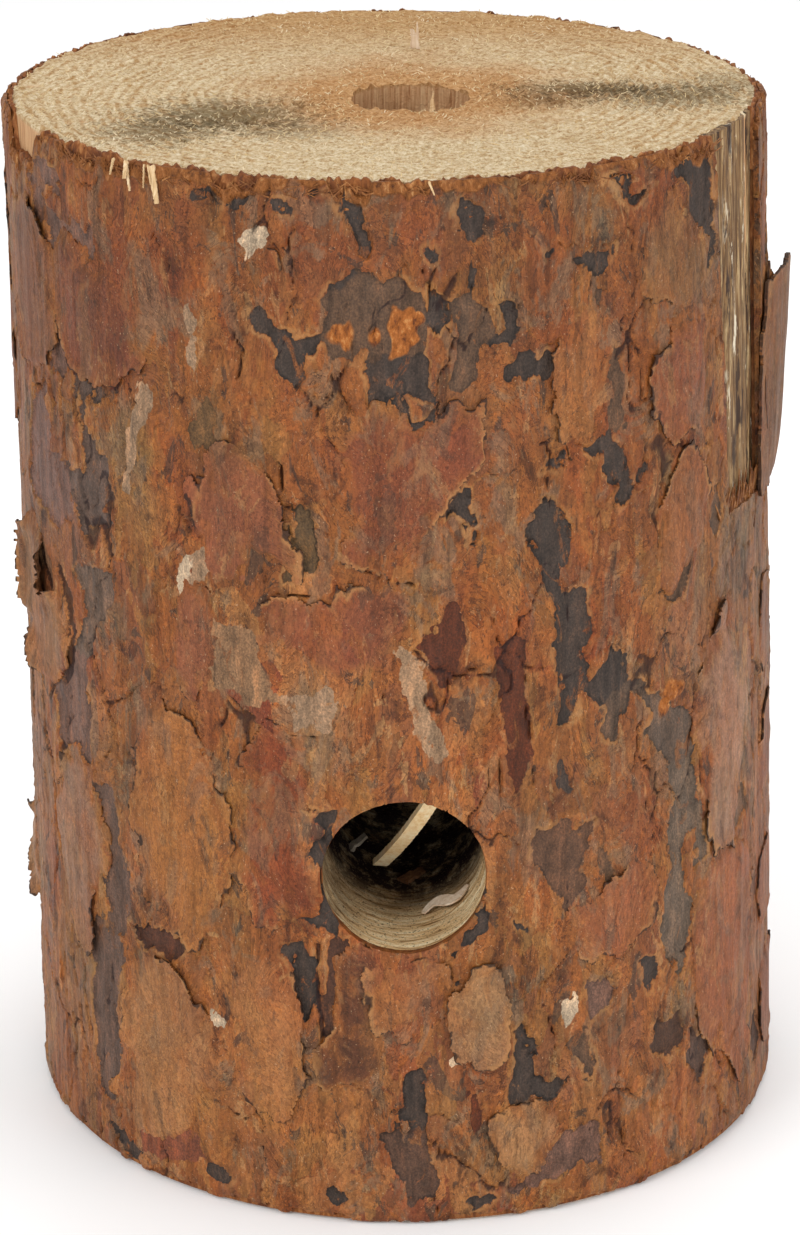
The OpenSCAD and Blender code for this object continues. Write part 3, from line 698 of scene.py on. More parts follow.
def sawn_wood_finish():
    """Rough sawn end grain with rings about the pith, pink heartwood, blue stain, and drilled walls."""
    f = Finish("sawn_wood", 0.85, 0.2)
    x, y, z = (f.axis(f.object, k) for k in "XYZ")
    across = f.stretch(1, 1, 0)
    centre = f.node("ShaderNodeVectorMath", operation="SUBTRACT")
    f.feed(centre.inputs[0], across)
    centre.inputs[1].default_value = (CHIMNEY_X * MM, CHIMNEY_Y * MM, 0)
    length = f.node("ShaderNodeVectorMath", operation="LENGTH")
    f.feed(length.inputs[0], centre.outputs[0])
    radius = length.outputs["Value"]
    wander = f.noise(f.stretch(45, 45, 45), 2, 0.5)
    ringed = f.stray(radius, wander, 0.009)
    wave = f.math("SINE", f.times(ringed, 2 * np.pi / (2.3 * MM)))
    fuzz = f.noise(f.stretch(1300, 1300, 1300), 5, 0.75)
    clump = f.noise(f.stretch(330, 330, 330), 4, 0.7)
    broad = f.noise(f.stretch(60, 60, 60), 3, 0.6)
    face = f.ramp(fuzz, [(0.28, srgb(140, 104, 64)), (0.4, srgb(192, 160, 116)), (0.52, srgb(224, 202, 164)),
                         (0.7, srgb(248, 234, 206))])
    sides = f.band(f.math("ABSOLUTE", x), 0.012, 0.045, 0.25, 1.0)
    lines = f.times(f.times(f.band(wave, -0.2, 0.8, 0, 0.65), sides),
                   f.band(clump, 0.36, 0.6, 0.2, 1.0))
    face = f.mix(lines, face, f.tint(face, srgb(218, 182, 128)))
    face = f.mix(f.band(clump, 0.5, 0.72, 0, 0.6), face, srgb(188, 148, 98))
    back = f.times(f.band(y, 0.012, 0.06), 0.75)
    face = f.mix(back, face, f.tint(face, srgb(228, 190, 138)))
    heart = f.band(f.stray(radius, broad, 0.03),
                   0.042, 0.016)
    face = f.mix(f.times(heart, 0.85), face, f.tint(face, srgb(238, 196, 152)))
    for px, py, rx, ry, strength in (
            (-33, -22, 19, 15, 0.85), (-44, -34, 13, 12, 0.7), (-20, -33, 12, 9, 0.45),
            (33, -3, 17, 8, 0.9), (50, -8, 16, 12, 0.75), (26, -12, 10, 7, 0.6), (60, 2, 8, 12, 0.45)):
        u = f.math("DIVIDE", f.minus(x, px * MM), rx * MM)
        v = f.math("DIVIDE", f.minus(y, py * MM), ry * MM)
        far = f.math("SQRT", f.plus(f.times(u, u), f.times(v, v)))
        far = f.stray(far, clump, 2.2)
        far = f.stray(far, fuzz, 1.6)
        share = f.times(f.band(far, 1.25, 0.2), strength)
        face = f.mix(share, face, f.tint(face, srgb(154, 146, 124)))
        face = f.mix(f.times(share, f.band(clump, 0.56, 0.66, 0, 0.7)), face, srgb(74, 66, 52))
    pores = f.band(f.noise(f.stretch(520, 520, 520), 3, 0.6), 0.30, 0.20)
    face = f.mix(f.times(pores, 0.7), face, srgb(92, 66, 44))
    wall = f.ramp(f.noise(f.stretch(1500, 1500, 60), 4, 0.6, 0.3), [
        (0.3, srgb(170, 116, 76)), (0.5, srgb(212, 166, 122)), (0.7, srgb(236, 200, 156))])
    arcs = f.noise(f.stretch(120, 1100, 120), 4, 0.6)
    drilled = f.ramp(arcs, [(0.32, srgb(150, 108, 64)), (0.46, srgb(234, 194, 140)),
                            (0.66, srgb(255, 236, 194))])
    crumb = f.noise(f.stretch(1700, 1700, 1700), 2, 0.6)
    drilled = f.mix(f.band(crumb, 0.42, 0.34, 0, 0.75), drilled, srgb(104, 78, 50))
    # Painted shade inside the draught bore: near-black deeper in, on its left and in its upper half, broken up
    # by speckle noise, with pale crumbs scattered through it.
    bore_shade_speckle = f.noise(f.stretch(240, 160, 240), 5, 0.7)
    bore_shade = f.math("MAXIMUM", f.band(y, -0.061, -0.044), f.times(f.band(x, -0.006, -0.014), 0.6))
    bore_shade = f.math("MAXIMUM", bore_shade, f.band(z, 0.066, 0.076))
    drilled = f.mix(f.times(bore_shade, f.band(bore_shade_speckle, 0.34, 0.52, 0.5, 1.0)), drilled, srgb(46, 32, 22))
    drilled = f.mix(f.times(bore_shade, f.band(crumb, 0.62, 0.7, 0, 0.7)), drilled, srgb(168, 146, 112))
    low = f.band(z, 0.0875, 0.0865)
    wall = f.mix(low, wall, drilled)
    top = f.band(z, (LOG_H - 1.6) * MM, (LOG_H - 0.7) * MM)
    colour = f.mix(top, wall, face)
    height = f.plus(fuzz, f.times(clump, 0.8))
    return f.finish(colour, height, 0.0007)


# ------------------------------------------------------------- bark: the ground
# Broad stains: angle, height, half width and half height in mm, share, colour.
WASHES = [
    (-40, 145, 6, 16, 0.6, srgb(152, 112, 72)), (-11, 100, 7, 10, 0.5, srgb(146, 112, 84)), (-45,
    174, 20, 14, 0.6, srgb(128, 76, 54)), (-34, 176, 6, 14, 0.5, srgb(126, 70, 48)), (8, 188, 30, 9,
    0.5, srgb(136, 80, 48)), (-20, 165, 8, 12, 0.5, srgb(138, 84, 50)), (28, 165, 16, 26, 0.4,
    srgb(134, 80, 48)), (20, 145, 7, 22, 0.6, srgb(140, 88, 50)), (13, 120, 6, 24, 0.65,
    srgb(150, 90, 44)), (-7, 135, 4, 14, 0.6, srgb(150, 96, 52)), (-35, 75, 20, 30, 0.35,
    srgb(152, 100, 60)), (8, 92, 8, 10, 0.6, srgb(156, 90, 46)), (15, 78, 9, 26, 0.4,
    srgb(146, 92, 56)), (34, 80, 14, 20, 0.4, srgb(140, 92, 62)), (-62, 130, 16, 20, 0.4,
    srgb(134, 98, 78)), (-60, 30, 16, 26, 0.5, srgb(146, 106, 76)), (-20, 30, 20, 24, 0.5,
    srgb(158, 106, 66)), (-24, 14, 14, 12, 0.5, srgb(150, 98, 62)), (40, 16, 24, 16, 0.45,
    srgb(146, 92, 60)), (30, 30, 10, 20, 0.3, srgb(148, 104, 78)), (75, 80, 20, 70, 0.5,
    srgb(150, 112, 88)), (-80, 80, 18, 90, 0.5, srgb(160, 122, 94)), (5, 12, 30, 12, 0.35,
    srgb(142, 90, 58)), (48, 108, 14, 16, 0.6, srgb(152, 108, 82)), (62, 118, 8, 8, 0.7,
    srgb(122, 100, 86)), (47, 152, 9, 14, 0.5, srgb(134, 78, 54)), (10, 33, 5, 8, 0.6,
    srgb(142, 78, 42)), (-52, 92, 5, 16, 0.6, srgb(146, 96, 62)), (6, 148, 12, 14, 0.4,
    srgb(124, 86, 64)), (30, 118, 5, 8, 0.5, srgb(138, 72, 42)), (10, 190, 60, 20, 0.45,
    srgb(124, 78, 50)),
]
DARK, UMBER, BLOOD = srgb(72, 62, 56), srgb(98, 76, 60), srgb(94, 54, 38)
PLUM, ASH, CHALK = srgb(114, 86, 73), srgb(152, 124, 98), srgb(184, 164, 138)
# Stained or shed patches: colour, depth in mm, outline as angle and height.
PATCHES = [
    (DARK, 0.6, [(-28.5, 198), (-24, 197.5), (-22.5, 196.5), (-20.5, 198), (-16.5, 198), (-20, 195),
     (-22.5, 196), (-25, 196), (-28, 195.5)]),
    (DARK, 0.6, [(-15, 197), (-12.5, 197.5), (-12, 195.5), (-13, 193.5), (-14.5, 194.5)]),
    (DARK, 0.6, [(-9, 197.5), (-5.5, 198), (-4, 196), (-3, 192), (-2.2, 190), (-2.2, 186.5),
     (-3.5, 187.5), (-4.4, 190.5), (-5.2, 193.5), (-6.5, 196)]),
    (DARK, 0.7, [(-19.5, 175.5), (-17.5, 175), (-16, 172.5), (-14, 171.5), (-10, 172),
     (-11.2, 169.5), (-11.5, 166), (-12.7, 163), (-14, 165), (-15.5, 165.5), (-16, 168.5),
     (-18.5, 171), (-20, 173)]),
    (UMBER, 0.5, [(-9.5, 179), (-7, 180.5), (-4.5, 184), (-2, 184), (-0.5, 181.5), (3, 182),
     (5, 180), (6, 175), (5.5, 170), (3, 168), (1, 168.5), (-1, 166), (-3, 169), (-6, 168.5),
     (-8.5, 168), (-9.5, 171.5), (-8.5, 175.5)]),
    (DARK, 0.7, [(-2.5, 168), (0, 169), (3, 168), (5.5, 170.5), (6.3, 167), (7.5, 161),
     (4.5, 161.5), (2.5, 162), (0, 161.5), (-0.8, 159), (-1.8, 159.5), (-2.5, 163)]),
    (DARK, 0.6, [(1.2, 162), (3, 160.5), (4.2, 158), (5.5, 157.5), (7, 159.5), (7.6, 158),
     (5.5, 155.5), (3.6, 156.5), (2, 159), (0.5, 161)]),
    (DARK, 0.6, [(-7, 181), (-4.5, 184), (-2, 184), (-1, 181.5), (-3.5, 181.5), (-5.5, 180),
     (-9.3, 179.5)]),
    (DARK, 0.7, [(6, 181.5), (8, 180.5), (9.6, 178.5), (9, 176), (7.5, 174), (6.3, 175.5)]),
    (UMBER, 0.4, [(10, 180), (12.5, 181.5), (14.8, 178.5), (15.2, 171), (13.3, 170), (12.5, 166),
     (12.8, 163), (9.3, 163.5), (10, 168), (10, 174)]),
    (DARK, 0.6, [(16, 178.5), (18.7, 178.5), (19, 172), (18.3, 169.8), (15.5, 170.3), (12.5, 169),
     (15.3, 171.5), (16.8, 173), (16.8, 176)]),
    (DARK, 0.5, [(12.6, 186.5), (13.9, 186), (13.9, 183), (12.8, 181.5), (11.8, 184)]),
    (DARK, 0.6, [(17, 165), (19.3, 167.5), (22, 166.5), (23.5, 167.5), (24.8, 167.3), (24.8, 164),
     (23, 162.5), (21, 163.2), (19, 163.3), (17.2, 163.5)]),
    (DARK, 0.6, [(10.2, 195), (11.8, 196.5), (14.8, 195.5), (14.3, 193), (13.5, 190.2), (12, 191.5),
     (10.6, 193)]),
    (DARK, 0.4, [(6.4, 188.5), (7.6, 189.5), (7.4, 186.5), (6.6, 186)]),
    (srgb(96, 76, 54), 0.6, [(-13.8, 143), (-12.3, 143.7), (-10.8, 142), (-10.2, 138),
     (-10.3, 132.5), (-11, 129.5), (-13.3, 128.8), (-14, 126), (-15, 125.5), (-15, 127.5),
     (-14, 130), (-13.5, 133), (-13.6, 140)]),
    (DARK, 0.7, [(7.5, 141), (8.7, 142.7), (10.3, 142.5), (10.2, 139.5), (11, 136), (11.3, 134),
     (10.3, 134.5), (9.5, 138), (7.6, 139.3)]),
    (BLOOD, 0.3, [(4.7, 118), (6, 120), (6.3, 123.5), (7, 124.5), (9.5, 123), (10.2, 118), (9, 113),
     (7.8, 110), (7.5, 107), (5.8, 106.5), (5, 112), (3.7, 116.5)]),
    (BLOOD, 0.3, [(15, 116.5), (19.5, 116.5), (19.8, 108), (19.6, 97), (19, 91), (16.5, 86),
     (15.6, 92), (15.8, 102), (15.2, 108)]),
    (DARK, 0.6, [(20.5, 140), (22.5, 141.3), (24, 139.5), (26, 135.5), (26.3, 131.5), (25.2, 128),
     (25.2, 124), (29.5, 123.5), (29.7, 117), (28, 111.5), (29, 107), (32, 109), (33.3, 113),
     (34.3, 110.5), (35, 105), (35, 101), (31, 100), (27, 104), (25.5, 97), (23.5, 98), (24.3, 106),
     (23.5, 113), (23.8, 120), (22.5, 128), (21, 132), (19.5, 133.5), (20, 137)]),
    (DARK, 0.6, [(27.5, 151), (30, 150.3), (31.5, 151), (35, 148.5), (35.5, 145), (37, 142),
     (39.5, 145), (39.3, 143), (37.5, 140.5), (36.5, 137.5), (35, 138.5), (33, 137), (33.2, 140.5),
     (34.5, 141.5), (32.8, 144), (31.8, 147.5), (30, 148), (28.5, 148.5)]),
    (UMBER, 0.4, [(33, 167), (34.8, 165.5), (35.2, 160), (35, 152), (33.5, 150.5), (32.5, 155),
     (32.7, 162)]),
    (DARK, 0.5, [(22, 147), (23.5, 148), (25.3, 147.8), (25.5, 146), (23.5, 146.3)]),
    (DARK, 0.6, [(28, 183), (30, 184.7), (33.7, 184.5), (33.2, 181.5), (31.8, 180.5), (31, 181.8),
     (28.5, 181.8)]),
    (UMBER, 0.5, [(31.3, 180.5), (32.3, 177.5), (31.8, 175), (30.3, 175), (30.8, 177.5)]),
    (DARK, 0.4, [(23, 187), (24.8, 188), (25, 185.5), (23.8, 185)]),
    (DARK, 0.7, [(34, 196.5), (37, 196), (38.5, 193), (40.5, 193.5), (39, 190.3), (37.5, 191),
     (36, 192.5), (35.2, 194)]),
    (DARK, 0.6, [(45, 196.5), (50, 197), (54.5, 196), (54.8, 188), (55.5, 180), (55, 176),
     (53, 175.5), (52.8, 180), (51.8, 184), (50, 188.5), (48.8, 192.5), (46.5, 194.5)]),
    (UMBER, 0.5, [(43, 121), (45, 120.3), (47, 122), (49.5, 123.5), (51, 124.5), (50.3, 123),
     (48, 119.5), (47, 117.2), (44.8, 116.5), (43, 117.5)]),
    (UMBER, 0.4, [(54.8, 136.5), (56.5, 133), (58.3, 130), (58.5, 126), (57, 125), (55.5, 128),
     (55.3, 132)]),
    (DARK, 0.4, [(51, 144), (53, 145.2), (54, 143.5), (52.5, 142.8)]),
    (PLUM, 0.5, [(-65.5, 190), (-64.5, 193.5), (-60, 195.5), (-56, 195), (-54, 191), (-58, 189.5),
     (-60, 188.5), (-59, 186.5), (-54, 185.5), (-49, 186.5), (-46, 186), (-46, 181.5), (-51, 180),
     (-55, 181), (-60, 181.5), (-63.5, 182.5), (-62, 185.5), (-63, 188.5)]),
    (PLUM, 0.5, [(-60, 180), (-57, 176.5), (-57.5, 170), (-57, 163), (-59, 159), (-59, 155.5),
     (-55, 156.5), (-53.5, 163), (-55.5, 172), (-54.5, 179.5)]),
    (srgb(92, 50, 38), 0.5, [(-54.5, 160), (-53, 163), (-50, 166), (-46, 168.5), (-43.5, 169),
     (-43, 163), (-43.5, 157), (-48, 157), (-53, 157)]),
    (srgb(98, 80, 70), 0.6, [(-52.5, 156.5), (-44, 156.8), (-44, 155), (-48.5, 154.5), (-51, 150),
     (-49.5, 147), (-46, 143.5), (-45, 139), (-44.5, 137), (-46, 133), (-44, 131), (-46.5, 129.5),
     (-51, 127.5), (-53.5, 130), (-55, 137.5), (-56.5, 140), (-51, 139.8), (-51.5, 146),
     (-52.3, 151)]),
    (srgb(120, 90, 78), 0.4, [(-66.5, 149.5), (-61.5, 153), (-60.3, 148), (-60.5, 141), (-57, 143),
     (-56.8, 139.5), (-55, 137), (-53, 131), (-56, 128), (-62, 127.5), (-69, 127), (-71, 132),
     (-70, 140), (-68, 144)]),
    (ASH, 0.0, [(-39, 160), (-36, 161), (-36.5, 153), (-38, 149), (-40, 144), (-41, 138),
     (-42.5, 139), (-40.5, 148), (-39.5, 154)]),
    (srgb(108, 82, 56), 0.4, [(-28.3, 155), (-26, 160.5), (-24.8, 158), (-24.3, 148), (-25, 146),
     (-27, 149), (-29.3, 151.3)]),
    (srgb(108, 88, 74), 0.5, [(-50.5, 121), (-45.5, 121.5), (-45, 117), (-47, 113), (-51, 109),
     (-51.5, 103), (-55, 100), (-56.5, 101), (-55, 107), (-51.8, 112), (-52.5, 117), (-55, 119.5)]),
    (ASH, 0.0, [(-28.8, 176), (-28, 177), (-27.2, 170), (-27.8, 163), (-28.6, 168)]),
    (CHALK, 0.0, [(-31.8, 124), (-30.8, 130), (-30, 128), (-30.6, 125)]),
    (ASH, 0.0, [(-29.8, 130), (-28.5, 131.5), (-27, 128), (-27.5, 126), (-30, 125.5)]),
    (PLUM, 0.6, [(-57.5, 104), (-52, 104.5), (-52.5, 98), (-53.5, 90), (-53, 83), (-56, 84),
     (-61, 80.5), (-63, 82), (-62.5, 87), (-64, 92), (-60.5, 95), (-58, 100)]),
    (srgb(102, 80, 68), 0.6, [(-52.5, 78), (-50.5, 79), (-48, 78.5), (-47, 74), (-46.5, 68),
     (-45.3, 62), (-45, 55), (-46, 48), (-50, 48), (-50.5, 54), (-51.5, 62), (-52.5, 70)]),
    (srgb(84, 56, 44), 0.7, [(-44, 51.5), (-41, 53), (-39, 54.2), (-38, 53), (-35.2, 53.5),
     (-35, 50.5), (-36, 47.6), (-39, 48.6), (-43.5, 49)]),
    (srgb(104, 82, 70), 0.6, [(-56, 45), (-53, 51), (-48, 48), (-46, 45.5), (-46, 41), (-47.5, 36),
     (-47.8, 30), (-46.2, 26), (-47, 22), (-49, 15), (-50.5, 11), (-54, 12), (-55, 20), (-54.5, 30),
     (-53.5, 38)]),
    (DARK, 0.7, [(-14, 84), (-12, 83.5), (-11, 80), (-12.5, 78), (-13, 74), (-13.2, 66),
     (-16.5, 64.5), (-16.8, 62), (-13, 60), (-10.5, 58), (-9.5, 60), (-11, 68), (-11, 78),
     (-9.5, 84)]),
    (DARK, 0.7, [(-18, 55.5), (-15, 56), (-12.7, 54), (-12.5, 48), (-12.8, 42), (-14, 40),
     (-16.5, 42), (-18, 42), (-16.5, 45), (-17, 49), (-15.5, 51)]),
    (srgb(86, 60, 48), 0.5, [(-11.5, 58), (-6, 57), (-4.5, 52), (-3.7, 44), (-3.5, 34), (-7, 33),
     (-9.5, 30), (-11.5, 29), (-12, 42)]),
    (DARK, 0.5, [(-52, 7), (-48, 7), (-45, 5), (-46, 2.5), (-50, 3)]),
    (DARK, 0.5, [(-31.5, 7), (-29.5, 8), (-27.5, 6), (-28, 4), (-32, 4)]),
    (DARK, 0.5, [(-12, 7), (-10.5, 7.5), (-9.8, 5), (-11, 3.5), (-12.3, 4.5)]),
    (CHALK, 0.0, [(-30.5, 39), (-29, 40), (-27.3, 38), (-28, 36), (-30, 37)]),
    (CHALK, 0.0, [(-20, 190.5), (-17, 190.8), (-16.5, 189), (-18.3, 186.5), (-18.5, 184.5),
     (-19.4, 185), (-19.5, 187.5), (-20.6, 188.3)]),
    (srgb(140, 108, 80), 0.0, [(-28.5, 117), (-24, 117.5), (-20, 117), (-19, 113), (-17, 110),
     (-16, 106), (-20, 104), (-27, 105), (-28.7, 110)]),
    (srgb(152, 124, 98), 0.0, [(-15, 107), (-8, 106), (-7, 103), (-8.5, 100), (-14.5, 100)]),
    (srgb(156, 126, 98), 0.0, [(-0.5, 115.5), (2, 116), (4, 113), (4.3, 105), (5.5, 100), (7.5, 96),
     (6, 95), (3.8, 97), (2.2, 99.5), (1.5, 107), (0, 112)]),
    (DARK, 0.4, [(24.8, 89), (26, 86), (25.5, 84), (24.2, 86), (23, 89), (24, 91)]),
    (srgb(100, 74, 58), 0.5, [(20.5, 79), (24, 79), (25, 76), (29.5, 78), (29, 73), (26.5, 69),
     (28, 66), (26, 63), (25, 59.5), (24, 63), (22, 68), (20.3, 73)]),
    (srgb(92, 76, 64), 0.6, [(30.5, 104), (40, 104), (39, 101), (36, 100.5), (34.5, 96), (33.5, 92),
     (31.5, 95)]),
    (srgb(98, 82, 70), 0.6, [(39.5, 101), (45, 96.5), (49, 93), (49.3, 85), (46, 82), (43, 84),
     (41, 88), (38.5, 91.5), (40.3, 95)]),
    (srgb(108, 92, 78), 0.6, [(42.5, 84), (49, 84), (50, 76), (51, 69), (52, 63), (49.5, 63),
     (49, 68), (46.5, 68.5), (46, 63), (47, 57.5), (50.2, 54.5), (49, 53), (47.8, 50), (46.7, 43),
     (44.5, 41), (42.5, 45), (42, 52), (42.5, 57), (44.3, 62), (43.2, 70), (44, 77)]),
    (DARK, 0.6, [(4.8, 54), (6.5, 55), (9.5, 59), (12, 60), (12.5, 66), (12, 71), (11, 66), (9, 60),
     (6.7, 54), (6.2, 50), (5, 50)]),
    (DARK, 0.5, [(6, 51), (8, 49.5), (9.5, 50), (9.3, 48), (8, 47.5)]),
    (DARK, 0.5, [(38, 44), (37, 47), (39, 47), (40.5, 46), (40, 42), (38.5, 39.5)]),
    (srgb(84, 62, 50), 0.5, [(39.5, 35), (41, 33), (44, 33), (45, 31), (46, 29), (44, 26),
     (40.5, 25.5), (39, 28)]),
    (DARK, 0.6, [(16.5, 39), (18, 40.5), (19, 35), (19.3, 30), (21, 28.5), (24, 28), (23.5, 25),
     (21, 24.8), (18.5, 25), (15.5, 23.5), (14.8, 26), (16.5, 32)]),
    (UMBER, 0.5, [(24.5, 34), (26, 35.5), (28, 35), (29, 32), (28.5, 27), (28, 26), (26, 30)]),
    (PLUM, 0.4, [(28, 45), (32, 45), (33, 43), (31.5, 39), (29.5, 38), (28.5, 41)]),
    (srgb(94, 74, 64), 0.6, [(47.5, 28), (51.5, 27), (52.5, 22), (50, 17), (47.5, 20), (46, 23)]),
    (DARK, 0.6, [(-0.5, 27), (1.3, 31.5), (2.7, 31), (3, 27), (3.5, 23), (3, 20), (0, 20),
     (-1, 22.5)]),
    (srgb(92, 70, 58), 0.6, [(-3, 18), (-0.5, 20), (3.5, 20), (4.5, 16), (4.5, 10), (3.5, 4),
     (1, 4), (0, 9), (-2, 13)]),
    (BLOOD, 0.3, [(8.7, 27), (10.5, 28), (10.6, 22), (9.8, 19.5), (9, 21)]),
    (PLUM, 0.5, [(20.5, 13), (23, 18), (28.5, 18), (29.3, 13), (29.5, 9), (25, 9), (22, 7.5),
     (18, 4.5), (15.5, 5.5), (18.5, 9)]),
    (DARK, 0.5, [(8.5, 5), (13, 4.5), (11, 2.5), (8.5, 2.5)]),
    (CHALK, 0.0, [(23.5, 43.5), (25, 44.5), (26.5, 42), (25.8, 38.5), (24.7, 37.5), (24, 40)]),
    (CHALK, 0.0, [(6.5, 35.6), (7.5, 35.9), (8, 34.6), (7, 34)]),
    (DARK, 0.4, [(16.3, 61), (18, 61.2), (18.5, 59), (17, 59.8)]),
    (UMBER, 0.4, [(30.5, 71), (32, 70), (33.3, 65.5), (32, 64), (31, 66.5)]),
    (srgb(126, 76, 56), 0.0, [(-45, 10), (-42, 12), (-38, 15), (-33, 12), (-32, 8), (-33, 5),
     (-40, 4.5), (-44, 6)]),
    (srgb(108, 84, 66), 0.4, [(56, 66), (59, 71.5), (64, 71), (66, 67), (62, 65)]),
    (srgb(90, 62, 46), 0.4, [(66, 12), (70, 20), (72, 14), (69, 8)]),
]


def washes(a, z):
    """Broad stains on the bark: their colour and share, the strongest mound at each point."""
    colour, share = evenly(BROWN, a), np.zeros(a.shape)
    stray = 0.9 * ripple(a, z, 10, 16, 131, 4)
    for wa, wz, hw, hh, strength, tone in WASHES:
        d = np.hypot(from_front(a - wa) * ARC / hw, (z - wz) / hh) + stray
        k = strength * (1 - step(d, 0.55, 1.15))
        stronger = k > share
        share = np.where(stronger, k, share)
        colour = np.where(stronger[..., None], np.array(tone[:3]), colour)
    return colour, share


def bark_edges(a, z, r):
    """Signed distance inside the outer bark's own outline: off the bore and off the bare strip."""
    torn = waver(a, z, 41, 1.6, 0.8)
    foot = z - 0.5 - 1.6 * step(ring(a, z * 0, 3, 9, 43, 4), 0.45, 0.8)
    off = np.minimum(bore_distance(a, z, r) + 0.10 * torn, strip_distance(a, z) + 0.5 * torn)
    return np.minimum(off, np.maximum(foot, -9))


def ground_panel(name, a0, a1, pitch, material):
    """One upright panel of the outer bark, from the ground() surface in to the inner bark."""
    a, v = grid(a0, a1, 0, 1, pitch, int(round(LOG_H / pitch)))
    low = BARK_LIFT + 1.2 * ring(a, v * 0, 5, 9, 151, 3)
    notch = 2.6 * step(ring(a, v * 0, 6, 9, 161, 4), 0.5, 0.9)
    high = LOG_H - RIM_DROP + 0.5 - notch - DIP * dip(a) - behind(a)
    z = low + v * (high - low)
    out, fields = ground(a, z)
    brink = np.minimum((high - z), (z - low) * 0.8)
    out = np.maximum(out - 0.7 * np.exp(-brink / 0.8), BARK_IN + 0.1)
    colour, share = washes(a, z)
    rimmed = z - (high - 1.0 - 3.0 * (ring(a, z, 4, 8, 171, 4) - 0.35))
    spot = np.full(a.shape, -9.0)
    for sa, sz, hw, hh in SPOTS:
        far = np.hypot((a - sa) * ARC / hw, (z - sz) / hh) + 0.9 * ripple(a, z, 3, 4, 175, 3)
        spot = np.maximum(spot, (1 - far) * min(hw, hh))
    torn = 0.45 * step(rimmed, -0.2, 0.6) + 0.75 * step(spot, -0.2, 0.6)
    out = out + torn * ring(a, z, 1.1, 1.6, 177, 3)
    r = wood_r(z)
    fields.update(rim=rimmed, spot=spot, wash=share, tone=colour)
    edges = bark_edges(a, z, r + out)
    return place(bark_sheet(name, a, z, r + out, r + BARK_IN, material, fields, edges), "outer_bark")


